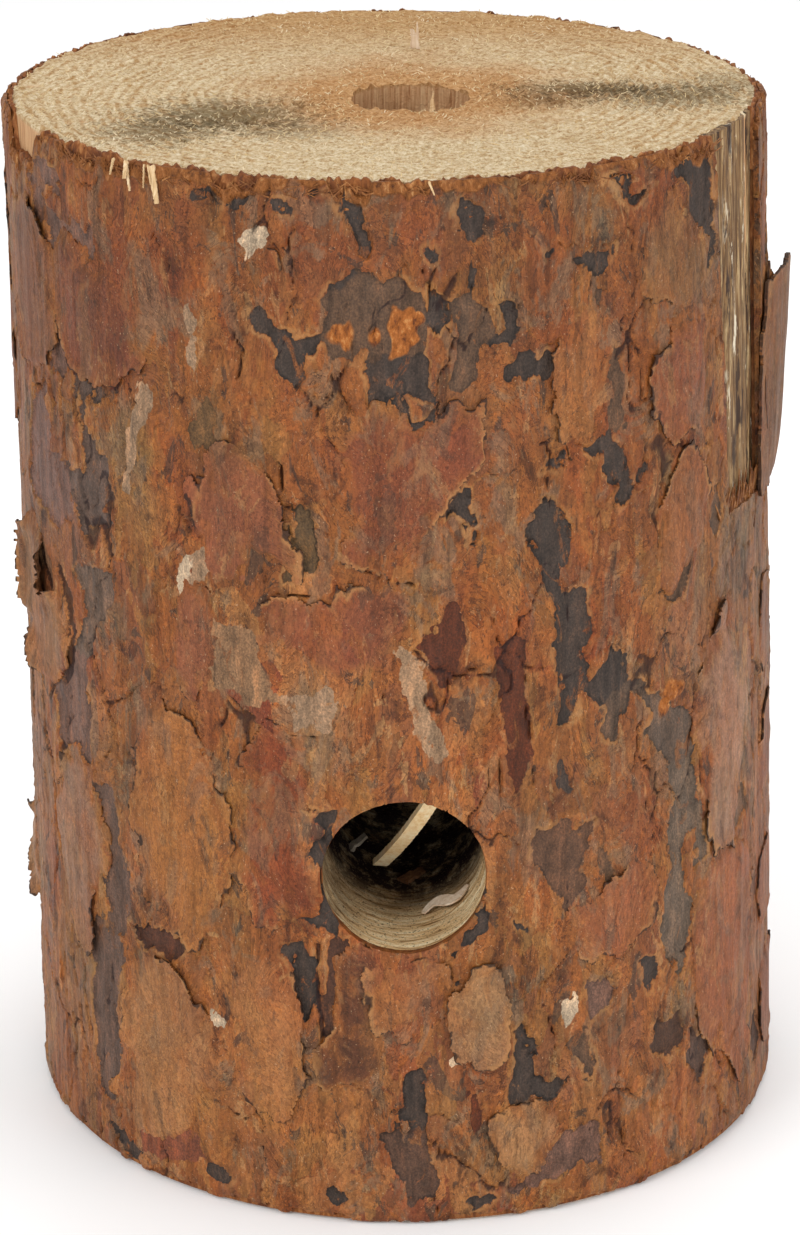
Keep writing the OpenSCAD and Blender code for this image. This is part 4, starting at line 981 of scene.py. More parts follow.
# ----------------------------------------------------------------- bark: plates
# Each plate: tone, lift of its free edge (mm), outline as angle and height.
PLATES = {
    "scale_maroon_centre": (MAROON, 0.3, [(-7.5, 156), (-1, 160), (4, 156), (9, 159), (13.5, 161),
        (13.5, 150), (9.5, 142), (7.5, 136), (0, 133), (-2, 129.5), (-5, 133), (-6.5, 139),
        (-8, 148)]),
    "scale_maroon_lobed": (srgb(134, 82, 62), 0.3, [(-27.5, 150), (-23.5, 152.5), (-19.5, 150),
        (-15.5, 142), (-13.5, 133), (-14, 128), (-18, 129), (-20, 125), (-23.5, 123), (-27.5, 122),
        (-30.5, 128), (-29.5, 138)]),
    "scale_maroon_low": (srgb(128, 76, 56), 0.4, [(-19.5, 123), (-14, 124), (-9, 121.5),
        (-7.5, 118.5), (-6.5, 127), (-1, 129), (3, 126), (2, 120), (-1, 113), (-4, 107.5),
        (-8, 106), (-13.5, 109), (-19.5, 115)]),
    "scale_maroon_narrow": (srgb(140, 88, 66), 0.3, [(-32.5, 120), (-29.5, 124), (-27, 120),
        (-27, 110), (-29, 102), (-32, 101), (-33.5, 110)]),
    "scale_beside_bore": (srgb(122, 64, 44), 0.3, [(-23.5, 93), (-19.5, 98), (-14, 97), (-12, 90),
        (-11, 80), (-11.5, 68), (-15.5, 61), (-21, 62), (-24, 68), (-23.5, 83)]),
    "scale_round_top": (srgb(154, 102, 60), 0.3, [(-41, 92), (-39, 97), (-35, 98.5), (-31, 97),
        (-27.5, 92), (-25.5, 80), (-24.5, 67), (-27.5, 57), (-32.5, 49), (-37, 53), (-41, 62),
        (-42.5, 77)]),
    "scale_upper_left": (srgb(116, 70, 54), 0.35, [(-56, 175), (-55.5, 181), (-51, 182.5),
        (-42, 180), (-36, 171.5), (-38, 162.5), (-42, 158), (-48.5, 156), (-53.5, 157),
        (-54.5, 164), (-55.5, 169)]),
    "scale_far_left": (srgb(136, 92, 70), 0.6, [(-74.5, 172), (-73, 181.5), (-68, 186.5),
        (-60, 183), (-57.5, 175), (-57.5, 163), (-60, 157), (-67, 152), (-72.5, 155), (-75, 163)]),
    "scale_grey_left": (srgb(150, 114, 94), 0.4, [(-63.5, 75), (-61.5, 81), (-57, 83.5), (-53, 81),
        (-51, 68), (-51, 57), (-55.5, 43.5), (-62.5, 48), (-65, 58), (-64.5, 68)]),
    "scale_lifting": (srgb(148, 108, 80), 2.2, [(-75, 117), (-70.5, 123), (-67, 120),
        (-63.5, 112.5), (-59.5, 115), (-56.5, 107), (-57.5, 98.5), (-62.5, 92.5), (-69.5, 93.5),
        (-74.5, 100)]),
    "scale_low_left": (srgb(156, 110, 74), 0.6, [(-45.5, 45), (-41.5, 48), (-36.5, 47.5),
        (-33, 42.5), (-28, 38.5), (-27.5, 23.5), (-32.5, 15), (-40.5, 8.5), (-47, 6), (-49, 16.5),
        (-47, 33)]),
    "scale_low_mid": (srgb(154, 104, 68), 0.4, [(-26.5, 50), (-22, 55), (-17, 53), (-14, 40),
        (-13.5, 26.5), (-15.5, 21), (-20, 17.5), (-25.5, 25), (-27, 38)]),
    "scale_dark_wedge": (srgb(84, 56, 44), 0.3, [(-10.5, 55), (-6.5, 56), (-3.5, 50), (-4, 34),
        (-9, 30), (-11.5, 28), (-11.3, 42)]),
    "scale_under_bore": (srgb(156, 106, 70), 0.4, [(-4, 53), (1, 55), (5, 52.5), (4, 43), (-1, 36),
        (-3.5, 43)]),
    "scale_right_of_bore": (srgb(168, 126, 90), 0.5, [(7.5, 45), (9.5, 52.5), (14, 51.5), (16, 44),
        (14.5, 36), (10, 33), (7, 37.5)]),
    "scale_foot": (srgb(166, 120, 84), 0.6, [(13, 20), (18.5, 23.5), (23.5, 21), (22, 13),
        (16, 8.5), (12.5, 13)]),
    "scale_orange_right": (srgb(146, 90, 62), 0.4, [(25.5, 60), (30, 67.5), (35.5, 68), (40, 62),
        (39.5, 53.5), (33, 50), (27.5, 52)]),
    "scale_pointed": (srgb(156, 120, 100), 0.5, [(50, 92), (52, 98), (56.5, 107), (59, 112),
        (62, 100), (67, 91.5), (66.5, 77), (61, 71.5), (60.5, 62.5), (54, 63.5), (51.5, 73)]),
    "scale_orange_tall": (srgb(150, 92, 64), 0.4, [(49.5, 50), (52.5, 61), (60.5, 61.5), (65.5, 58),
        (67, 40), (65.5, 23), (60.5, 11.5), (54, 18.5), (48.5, 33)]),
    "scale_leaf": (srgb(134, 96, 64), 0.5, [(38.5, 183), (41, 191.5), (45, 195), (50, 190),
        (53, 181.5), (52.5, 175), (46, 169), (40, 173)]),
    "scale_upper_right": (srgb(136, 82, 60), 0.4, [(39.5, 165), (45, 168), (51, 166.5), (54.5, 160),
        (52.5, 150), (45, 146.5), (39.5, 153)]),
    "scale_mid_right": (srgb(150, 98, 66), 0.5, [(43, 143), (48.5, 145), (54, 138), (52.5, 126.5),
        (47.5, 122), (44, 117), (41, 126.5)]),
    "scale_tall_right": (srgb(148, 98, 60), 0.4, [(24.5, 167), (29, 176), (32.5, 172), (32.5, 158),
        (30, 150), (25.5, 148), (23.5, 157)]),
    "scale_oval": (srgb(142, 84, 58), 0.5, [(-18.2, 184.5), (-17, 188), (-15.2, 187), (-14.6, 184),
        (-15.6, 181), (-17.4, 181)]),
    "scale_edge_left": (srgb(160, 124, 98), 1.8, [(-91, 50), (-88, 56), (-83, 56.5), (-79, 50),
        (-80, 42), (-85, 39.5), (-90, 43)]),
    "bore_rim_chip": (srgb(96, 46, 34), 0.6, [(-0.4, 54.4), (0.8, 55), (2, 54.4), (1.6, 52.6),
        (0.6, 51.6), (-0.2, 52.8)]),
}


def plate(name, node, tone, lift, points, seed, pitch, material, rough=1.0):
    """A bark plate on the ground: its sheet hugs a smoothed ground, thins at its edge and lifts in places.

    outer = bark + slow noise + lift * exp(-inset / 2.2) where the edge noise is high,
    and less 0.95 * exp(-inset / 1.3), so that it sinks into the ground, where it is low.
    """
    pts = np.asarray(points, float)
    lo, hi = pts.min(0), pts.max(0)
    a, z = grid(lo[0] - 2.5, hi[0] + 2.5, max(lo[1] - 3, 1.0), min(hi[1] + 3, LOG_H - 1.4), pitch)
    d = outline_distance(a * ARC, z, pts * (ARC, 1))
    d = d + rough * waver(a, z, 41 + seed, 5.4, 0.9)
    n = strata(a, z)[0]
    slow = ripple(a, z, 34, 60, 91, 2)
    up = step(ring(a, z, 14, 16, 301 + seed, 2), 0.42, 0.66)
    inset = np.maximum(d, 0)
    swell = ripple(a, z, 12, 24, 331 + seed, 2)
    grain = ripple(a, z, 0.9, 9, 95, 2)
    thin = sum(step(n, t - 0.012, t + 0.012) for t in (0.3, 0.5, 0.7)) * 0.1
    out = BARK_OUT - 0.02 + 0.5 * slow + 0.25 * swell + thin + 0.08 * grain
    out = out + lift * up * np.exp(-inset / 2.2) - 0.95 * (1 - up) * np.exp(-inset / 1.3)
    under = np.maximum(out - 0.3 - 0.25 * (1 - np.exp(-inset / 4)), BARK_IN + 0.2)
    r = wood_r(z)
    d = np.minimum(d, bark_edges(a, z, r + out) - 0.35)
    colour = evenly(tone, a)
    vary = ring(a, z, 14, 40, 361 + seed, 3)[..., None] - 0.5
    colour = np.clip(colour * (1 + 0.35 * vary), 0, 1)
    fields = dict(strata=n, inset=d, tone=colour, lifted=up)
    return place(bark_sheet(name, a, z, r + out, r + under, material, fields, d, one_patch=True), node)


def place(piece, node, body="log"):
    """Ties a piece to its body and hides the node it stands for."""
    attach(piece, body)
    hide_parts(node)
    return piece


ground_bark = bark_finish("bark_ground", plate=False)
plate_bark = bark_finish("bark_plates", plate=True)
SEEN = [(-92, -55), (-55, -18), (-18, 18), (18, 55), (55, 92)]
UNSEEN = [(92, 180), (180, 268)]
for number, (a0, a1) in enumerate(SEEN + UNSEEN):
    ground_panel(f"outer_bark_{number + 1}", a0, a1, FINE if number < len(SEEN) else COARSE, ground_bark)

for number, (node, (tone, lift, points)) in enumerate(PLATES.items()):
    small = 0.35 if np.ptp(np.asarray(points)[:, 1]) < 9 else 1.0
    plate(node, node, tone, lift, points, 7 * number, 0.5 if small == 1 else 0.3, plate_bark, small)

# Plates on the side and the back, a node each: first and last angle, lowest and
# highest share of the log's height, columns, rows.
FIELDS = {
    "scales_right_low": (70, 108, 0.04, 0.28, 2, 2), "scales_right_mid": (71, 109, 0.3, 0.56, 2, 2),
    "scales_right_high": (102, 122, 0.62, 0.95, 1, 2),
    "scales_back_right_low": (110, 156, 0.04, 0.31, 2, 1),
    "scales_back_right_mid": (112, 158, 0.34, 0.58, 2, 1),
    "scales_back_right_high": (126, 164, 0.62, 0.96, 2, 1),
    "scales_back_low": (158, 202, 0.05, 0.33, 2, 1),
    "scales_back_mid": (161, 206, 0.36, 0.59, 2, 2),
    "scales_back_high": (167, 208, 0.63, 0.95, 2, 1),
    "scales_left_low": (206, 265, 0.04, 0.19, 3, 1), "scales_left_mid": (209, 264, 0.3, 0.58, 3, 1),
    "scales_left_high": (212, 282, 0.64, 0.96, 3, 1),
}
FIELD_TONES = [srgb(150, 106, 72), srgb(132, 84, 60), srgb(158, 122, 96), srgb(146, 94, 60),
               srgb(126, 78, 58)]


def plate_fields():
    """Fields of plates, each plate an oval in its share of the field, broken by noise on its radius."""
    for k, (node, (a0, a1, u0, u1, cols, rows)) in enumerate(FIELDS.items()):
        rng = np.random.default_rng(900 + k)
        da, du = (a1 - a0) / cols, (u1 - u0) / rows
        for i in range(cols * rows):
            ca, cz = a0 + da * (i % cols + 0.5), (u0 + du * (i // cols + 0.5)) * LOG_H
            t = np.linspace(0, 2 * np.pi, 14, endpoint=False)
            q = 1 - 0.24 * rng.random(14)
            c, n = np.cos(t), np.sin(t)
            points = np.stack([ca + da * 0.47 * np.sign(c) * np.abs(c) ** 0.7 * q,
                               cz + du * LOG_H * 0.47 * np.sign(n) * np.abs(n) ** 0.7 * q], -1)
            plate(f"{node}_{i + 1}", node, FIELD_TONES[rng.integers(len(FIELD_TONES))],
                  0.05 + 0.25 * rng.random(), points, 400 + 11 * k + i, 0.9, plate_bark, 0.45)


plate_fields()


# ------------------------------------------------------------------------ flap
def flap_sheet(name, a0, a1, z0, z1, out0, out1, thick, seed, points, tone):
    """The bark flap: a sheet on the bark at its foot, further out towards its curled free end."""
    pts = np.asarray(points, float)
    a, z = grid(a0 - 1, a1 + 1, z0 - 1, z1 + 1, 0.45)
    d = outline_distance(a * ARC, z, pts * (ARC, 1)) + 0.6 * waver(a, z, seed, 2.0, 1.0)
    rise = np.clip((z - z0 - 3) / (z1 - z0 - 3), 0, 1)**0.4 * step(a, a0 + 1, a0 + 14)
    bow = ripple(a, z, 9, 40, seed + 3, 2)
    grain = ripple(a, z, 0.8, 9, seed + 5, 3)
    out = BARK_OUT + 0.35 + out0 + (out1 - out0) * rise + 0.9 * bow * rise + 0.22 * grain
    r = wood_r(z)
    n = strata(a, z)[0]
    fields = dict(strata=n, inset=d, tone=evenly(tone, a), lifted=np.full(a.shape, 0.6))
    under = r + out - thick * (0.6 + 0.4 * step(d, 0, 2))
    return place(bark_sheet(name, a, z, r + out, under, plate_bark, fields, d, one_patch=True), name)


flap_sheet("flap_outer", 71, 98, 124, 168, 0, 4.2, 0.9, 811,
           [(73, 126), (72.5, 136), (73.5, 148), (74, 158), (75.5, 167), (80, 168), (86, 168), (92, 166),
            (96.5, 158), (97, 146), (95, 136), (90, 128), (82, 124.5)], srgb(126, 90, 68))
flap_sheet("flap_inner", 74, 90, 136, 171, 0.5, 3.1, 0.6, 833,
           [(76, 137), (75, 150), (76, 162), (77, 169), (78, 170.6), (79, 168), (81, 165), (84, 167), (88, 165),
            (89, 150), (87, 140)], srgb(92, 66, 54))


# ------------------------------------------------------------- wood and bores
def tube_faces(rows, cols):
    """Quads between rows of cols points each, and a fan of triangles to one more point at each end."""
    i, j = np.meshgrid(np.arange(rows - 1), np.arange(cols), indexing="ij")
    i, j = i.ravel(), j.ravel()
    k = (j + 1) % cols
    wall = np.stack([i * cols + j, i * cols + k, (i + 1) * cols + k, (i + 1) * cols + j], 1)
    j = np.arange(cols)
    k = (j + 1) % cols
    n, last, none = rows * cols, (rows - 1) * cols, np.full(cols, -1)
    return wall, np.stack([k, j, 0 * j + n, none], 1), np.stack([last + j, last + k, 0 * j + n + 1, none], 1)


def drum(centre, radius, lo, hi, rows, turn, relief, seed):
    """Closed cylinder to drill with: its wall strays by relief mm of noise, along it or round it."""
    cols = 180
    t = np.linspace(0, 2 * np.pi, cols, endpoint=False)
    h = np.linspace(lo, hi, rows)
    tt, hh = np.meshgrid(t, h)
    across, along = (16, 0.10) if turn == "up" else (4, 0.75)
    rough = layered(tt / (2 * np.pi) * across * 4, hh * along, seed, 4, across * 4) - 0.5
    r = radius + relief * rough
    if turn == "up":
        p = np.stack([centre[0] + r * np.cos(tt), centre[1] + r * np.sin(tt), hh], -1)
    else:
        p = np.stack([centre[0] + r * np.sin(tt), hh, centre[1] + r * np.cos(tt)], -1)
    ends = [p[0].mean(0), p[-1].mean(0)]
    return np.concatenate([p.reshape(-1, 3), ends]) * MM, np.concatenate(tube_faces(rows, cols))


def drill(piece, cutters):
    """Takes cutters (points and faces) out of a piece by exact mesh subtraction."""
    tools = []
    for k, (verts, faces) in enumerate(cutters):
        tool = make_mesh(f"cutter_{k}", verts, faces, piece.data.materials[0])
        tools.append(tool)
        cut = piece.modifiers.new("bore", "BOOLEAN")
        cut.operation, cut.solver, cut.object = "DIFFERENCE", "MANIFOLD", tool
    bpy.context.view_layer.update()
    done = bpy.data.meshes.new_from_object(piece.evaluated_get(bpy.context.evaluated_depsgraph_get()))
    piece.modifiers.clear()
    old, piece.data = piece.data, done
    bpy.data.meshes.remove(old)
    done.name = piece.name
    done.shade_smooth()
    done.set_sharp_from_angle(angle=np.radians(38))
    for tool in tools:
        bpy.data.objects.remove(tool)
    return piece


def chimney_tool():
    """The chimney's drill, from inside the draught bore up through the top face."""
    return drum((CHIMNEY_X, CHIMNEY_Y), CHIMNEY_R, DRAUGHT_Z, LOG_H + 8, 90, "up", 0.55, 501)


def draught_tool():
    """The draught bore's drill, from outside the front in past the chimney."""
    return drum((DRAUGHT_X, DRAUGHT_Z), DRAUGHT_R, -BASE_R - 12, DRAUGHT_END, 90, "in", 0.35, 521)


def face_height(x, y):
    """Height of the sawn face above its plane, in mm: ring ridges, saw waves, fuzz and a few pits."""
    dist = np.hypot(x - CHIMNEY_X, y - CHIMNEY_Y)
    turn = np.arctan2(y - CHIMNEY_Y, x - CHIMNEY_X)
    wander = layered(x / 24 + 40, y / 24 + 40, 551, 2) - 0.5
    side = 0.25 + 0.75 * np.exp(-((np.abs(np.cos(turn)) - 1) / 0.28) ** 2)
    deep = side * step(layered(x / 15 + 9, y / 15 + 9, 553, 3), 0.2, 0.6)
    ridge = np.sin(2 * np.pi * (dist + 9 * wander) / 2.7)
    fuzz = layered(x / 1.1 + 70, y / 1.1 + 70, 557, 3) - 0.5
    lumps = layered(x / 4.5 + 30, y / 4.5 + 30, 559, 3) - 0.5
    out = 0.30 * deep * ridge * (dist > 15) + 0.40 * fuzz + 0.5 * lumps
    for px, py, size in ((-59, -25, 1.6), (-45, 45, 1.4), (-52, 44, 1.3), (-71, 4, 1.6), (-52, -22, 1.2)):
        out = out - 1.4 * np.exp(-(((x - px) / (1.7 * size)) ** 2 + ((y - py) / size) ** 2))
    return out - 0.7 * np.exp(-np.abs(dist - CHIMNEY_R) / 1.5) * layered(turn * 6 + 50, dist * 0, 561, 3)


def core():
    """Closed trunk of wood: polar rings about the pith on top, a plain wall and a fanned bottom."""
    cols = 520
    t = np.linspace(0, 360, cols, endpoint=False)
    share = np.concatenate([np.linspace(0.10, 0.24, 24)[:-1], np.linspace(0.24, 0.985, 74), [1.0]])
    rim = on_trunk(t, np.full(cols, LOG_H), wood_r(LOG_H) + 0.15)[:, :2] / MM
    heart = np.array([CHIMNEY_X, CHIMNEY_Y])
    flat = heart + share[:, None, None] * (rim - heart)
    edge = layered(t / 360 * 160, t * 0, 571, 4, 160) - 0.5
    high = LOG_H - 0.35 + face_height(flat[..., 0], flat[..., 1])
    high[-1] = LOG_H - 0.9 + 1.2 * edge
    high[-2] += 0.4 * edge
    top = np.concatenate([flat, high[..., None]], -1)[::-1]
    down = np.array([198.2, 196, 190, 160, 120, 80, 40, 6, 0.6])
    wall = np.stack([on_trunk(t, np.full(cols, h), wood_r(h)) / MM for h in down])
    foot = wall[-1] * (0.994, 0.994, 0)
    rings = np.concatenate([top[::-1], wall, foot[None]])
    verts = np.concatenate([rings.reshape(-1, 3), [[*heart, LOG_H - 0.3], [0, 0, 0]]])
    turned = np.concatenate([f[:, (1, 0, 3, 2)] if f[0, 3] >= 0 else f[:, (1, 0, 2, 3)]
                             for f in tube_faces(len(rings), cols)])
    piece = make_mesh("wood_core", verts * MM, turned, sawn_wood_finish())
    return place(drill(piece, [chimney_tool(), draught_tool()]), "wood_core")


def inner_bark():
    """Fibrous bark between wood and outer bark: a coarse sleeve, and a fine torn fringe at the rim."""
    bast = plain_wood_finish("inner_bark_fibres", srgb(74, 44, 26), srgb(136, 82, 44), srgb(184, 130, 80),
                             900, 260, 0.0004)
    for name, a0, a1, top in (("inner_bark", STRIP_A1 + 1, STRIP_A0 + 359, 195.5 - DIP),
                              ("inner_bark_below_strip", STRIP_A0 - 1, STRIP_A1 + 1, STRIP_Z)):
        a, z = grid(a0, a1, BARK_LIFT + 0.2, top, 2.6)
        r = wood_r(z)
        sleeve = place(bark_sheet(name, a, z, r + 0.98, r + 0.04, bast, {}), "inner_bark")
        if name == "inner_bark":
            drill(sleeve, [draught_tool()])
    a, v = grid(STRIP_A1, STRIP_A0 + 360, 0, 1, 0.5, 25)
    torn = ring(a, v * 0, 1.6, 9, 611, 4, 0.7) - 0.5
    high = LOG_H - 0.3 + 1.5 * torn - DIP * dip(a) - behind(a)
    z = 195 - DIP + v * (high - 195 + DIP)
    r = wood_r(z)
    rough = ripple(a, z, 0.9, 1.4, 617, 3)
    out = r + 0.98 + (0.25 + 0.9 * rough) * v - 0.6 * v**6
    fringe = bark_sheet("inner_bark_fringe", a, z, out, r + 0.02, bast, {})
    return place(fringe, "inner_bark")


def bare_strip():
    """Weathered wood where the bark is gone: a fibrous skin on the trunk, split along its right side."""
    a, z = grid(STRIP_A0 - 2, STRIP_A1 + 2, STRIP_Z - 3, LOG_H - 0.4, 0.42)
    fibre = ripple(a, z, 0.7, 30, 701, 3)
    slow = ripple(a, z, 4, 50, 705, 3)
    bend = STRIP_A1 - 2.6 + 2.4 * ripple(a * 0 + 60, z, 10, 26, 707, 3) - 1.2 * (LOG_H - z) / 72
    split = 0.8 - np.abs(a - bend) * ARC + 0.9 * ripple(a, z, 3, 11, 709, 3)
    out = 0.35 + 0.35 * fibre + 0.6 * slow - 0.9 * step(split, -0.3, 0.5)
    r = wood_r(z)
    side = (a - STRIP_A0) / (STRIP_A1 - STRIP_A0)
    fields = dict(split=split, side=side)
    return place(bark_sheet("bare_strip", a, z, r + out, r - 1.2, bare_strip_finish(), fields), "wood_core")


# ------------------------------------------------------------- loose slivers
def sweep(path, width, thick, across):
    """Rectangular bar along a path, width by thick mm at each point, its width lying along across."""
    path = np.asarray(path, float)
    n = len(path)
    width, thick = np.broadcast_to(width, n), np.broadcast_to(thick, n)
    run = np.gradient(path, axis=0)
    run = run / np.linalg.norm(run, axis=1, keepdims=True)
    side = np.asarray(across, float) - run * (run @ np.asarray(across, float))[:, None]
    side = side / np.linalg.norm(side, axis=1, keepdims=True)
    up = np.cross(run, side)
    ring4 = [(-1, -1), (1, -1), (1, 1), (-1, 1)]
    verts = np.stack([path + side * (u * width / 2)[:, None] + up * (v * thick / 2)[:, None]
                      for u, v in ring4], 1).reshape(-1, 3)
    faces = [(i * 4 + k, i * 4 + (k + 1) % 4, i * 4 + 4 + (k + 1) % 4, i * 4 + 4 + k)
             for i in range(n - 1) for k in range(4)]
    e = (n - 1) * 4
    faces += [(3, 2, 1, 0), (e, e + 1, e + 2, e + 3)]
    return verts, np.array(faces)


def bundle(name, bars, material, node, body="log"):
    """One piece from many bars."""
    verts, faces, count = [], [], 0
    for v, f in bars:
        verts.append(v)
        faces.append(f + count)
        count += len(v)
    piece = make_mesh(name, np.concatenate(verts) * MM, np.concatenate(faces), material, sharp=50)
    return place(piece, node, body)


def wave_bar(points, w0, w1, t0, t1, across, seed, steps=22, wobble=0.12):
    """A bar through a few points on a smooth curve, narrowing, its line and width shaken a little."""
    pts = np.asarray(points, float)
    u = np.linspace(0, len(pts) - 1, steps)
    path = np.stack([np.interp(u, np.arange(len(pts)), pts[:, k]) for k in range(3)], 1)
    if len(pts) > 2:
        for _ in range(4):
            path[1:-1] = (path[:-2] + 2 * path[1:-1] + path[2:]) / 4
    rng = np.random.default_rng(seed)
    path = path + wobble * (rng.random((steps, 3)) - 0.5)
    s = np.linspace(0, 1, steps)
    width = (w0 + (w1 - w0) * s) * (0.86 + 0.28 * rng.random(steps))
    return sweep(path, width, t0 + (t1 - t0) * s, across)


def along_rim(a):
    """Direction along the rim at angle a."""
    t = np.radians(a)
    return np.cos(t), np.sin(t), 0


def rim_splinters():
    """The splinters torn from the sawn edge, bent down over the bark."""
    def hang(a, tip_a, drop, out=0.5):
        root = on_trunk(a, LOG_H - 0.4, TOP_R + 1.7) / MM
        tip = on_trunk(tip_a, LOG_H - drop, TOP_R + 2.5 + out) / MM
        return [root, 0.5 * (root + tip), tip]

    for name, slivers in (
            ("long", [(-34.3, -32.9, 6.6, 1.3, 0.9), (-34.9, -33.8, 3.4, 0.35, 0.15)]),
            ("curved", [(-35.6, -35.1, 4.2, 0.3, 0.15)]),
            ("knobbed", [(-39.0, -37.6, 5.2, 0.6, 0.35), (-38.9, -38.5, 3.2, 0.9, 0.7)]),
            ("short", [(-41.4, -41.2, 3.0, 0.45, 0.25)]), ("front", [(6.4, 7.0, 2.4, 0.4, 0.2)])):
        bars = []
        for k, (a, tip_a, drop, w0, w1) in enumerate(slivers):
            bars.append(wave_bar(hang(a, tip_a, drop), w0, w1, 0.35, 0.2, along_rim(a), 3 * k + 1, wobble=0.08))
        bundle("rim_splinter_" + name, bars, splinter, "rim_splinter_" + name)
    up = (1, 0, 0)
    x, y, _ = np.mean(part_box("face_splinter"), 0) / MM
    bundle("face_splinter", [
        wave_bar([(x + 0.1, y, 199.6), (x - 0.1, y, 202), (x - 0.6, y, 203.4)], 1.9, 0.5, 0.6, 0.3, up, 8),
        wave_bar([(x + 0.5, y, 200.4), (x + 0.6, y, 203), (x + 0.5, y, 204.8)], 0.7, 0.2, 0.4, 0.2, up, 9)],
        pale_pink, "face_splinter")
    x, y, _ = np.mean(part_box("chimney_splinter"), 0) / MM
    bundle("chimney_splinter", [wave_bar([(x, y, 199.4), (x, y, 201.4), (x + 0.2, y, 203.2)], 1.1, 0.15, 0.5,
                                         0.2, up, 10)], splinter, "chimney_splinter")


def strip_tuft():
    """Torn bark fibres at the foot of the bare strip, a fan of tapered bars."""
    rng = np.random.default_rng(77)
    bars = []
    for _ in range(TUFT_FIBRES):
        a = STRIP_A0 + 1 + (STRIP_A1 - STRIP_A0 - 1) * rng.random()
        z0, h = STRIP_Z - 3 + 3 * rng.random(), 2 + 5.5 * rng.random()
        da = rng.normal() * 1.2
        r0 = wood_r(z0)
        p = [on_trunk(a, z0, r0 + 0.9) / MM, on_trunk(a + da * 0.4, z0 + h * 0.5, r0 + 1.3) / MM,
             on_trunk(a + da, z0 + h, r0 + 0.8 + rng.random()) / MM]
        bars.append(wave_bar(p, 0.5 + 0.4 * rng.random(), 0.15, 0.4, 0.15, along_rim(a),
                             int(rng.integers(9999)), 5, 0.1))
    bundle("strip_fibres", bars, bast_fibre, "strip_fibres")


def rim_fibres():
    """Hundreds of short torn fibres between the sawn face and the bark, and crumbs of fuzz on the face."""
    rng = np.random.default_rng(78)
    bars = []
    for _ in range(RIM_FIBRES):
        a = -180 + 360 * rng.random()
        if STRIP_A0 - 1 < a < STRIP_A1 + 1:
            continue
        z0 = LOG_H - 1.9 - 1.7 * rng.random() - DIP * dip(np.array(a)) - behind(np.array(a))
        ln, lean = 0.6 + 1.2 * rng.random(), rng.normal() * 1.5
        r0 = TOP_R + 1.0 + 0.9 * rng.random()
        p = [on_trunk(a, z0, r0) / MM, on_trunk(a + lean, z0 + ln, r0 + 0.5 * (rng.random() - 0.3)) / MM]
        bars.append(wave_bar(p, 0.24, 0.1, 0.2, 0.1, along_rim(a), int(rng.integers(9999)), 3, 0.15))
    bundle("rim_torn_fibres", bars, bast_fibre, "inner_bark")
    bars = []
    far = TOP_R * np.sqrt(rng.random(FACE_CRUMBS)) * 0.99
    turn = 2 * np.pi * rng.random(FACE_CRUMBS)
    xs, ys = far * np.cos(turn) - LOG_H * LEAN, far * np.sin(turn)
    free = np.hypot(xs - CHIMNEY_X, ys - CHIMNEY_Y) > CHIMNEY_R + 0.8
    xs, ys, turn = xs[free], ys[free], turn[free]
    for x, y, z, t in zip(xs, ys, LOG_H - 0.45 + face_height(xs, ys), turn):
        tilt = rng.normal(size=2) * 0.8
        ln = 0.3 + 0.6 * rng.random()
        tip = (x + tilt[0] * ln, y + tilt[1] * ln, z + 0.3 + ln * 0.35 * rng.random())
        bars.append(wave_bar([(x, y, z), tip], 0.17, 0.08, 0.12, 0.06, (np.sin(t * 7), np.cos(t * 7), 0),
                             int(rng.integers(9999)), 3, 0.12))
    bundle("face_fuzz", bars, fuzz_fibre, "wood_core")


def bore_litter():
    """What lies in the draught bore: a curled shaving, a grey chip and a brown fragment."""
    lo, hi = (np.array(c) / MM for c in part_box("bore_shaving"))
    s = np.linspace(0, 1, 18)
    x = lo[0] + 0.3 + (hi[0] - lo[0] - 0.6) * s
    z = DRAUGHT_Z - np.sqrt(np.maximum(15**2 - (x - DRAUGHT_X) ** 2, 1)) + 0.7 + 1.2 * np.sin(np.pi * s)
    y = (lo[1] + hi[1]) / 2 + 1.6 * np.sin(2.2 * np.pi * s)
    v, f = sweep(np.stack([x, y, z], 1), 2.2 * np.sin(np.pi * (0.08 + 0.86 * s)) + 0.3, 0.35, (0, 1, 0.2))
    bundle("bore_shaving", [(v, f)], pale_pink, "bore_shaving")
    for name, finish, seed in (("bore_chip", grey_chip, 5), ("bore_fragment", dark_chip, 6)):
        lo, hi = (np.array(c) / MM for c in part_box(name))
        mid, rng = (lo + hi) / 2, np.random.default_rng(seed)
        path = [lo + (hi - lo) * (0.0, 0.2, 0.1), mid, lo + (hi - lo) * (1.0, 0.8, 0.9)]
        bundle(name, [wave_bar(path, 2.4, 1.4, 0.9, 0.5, (0, 1, 0.3), seed, 9, 0.3)], finish, name)


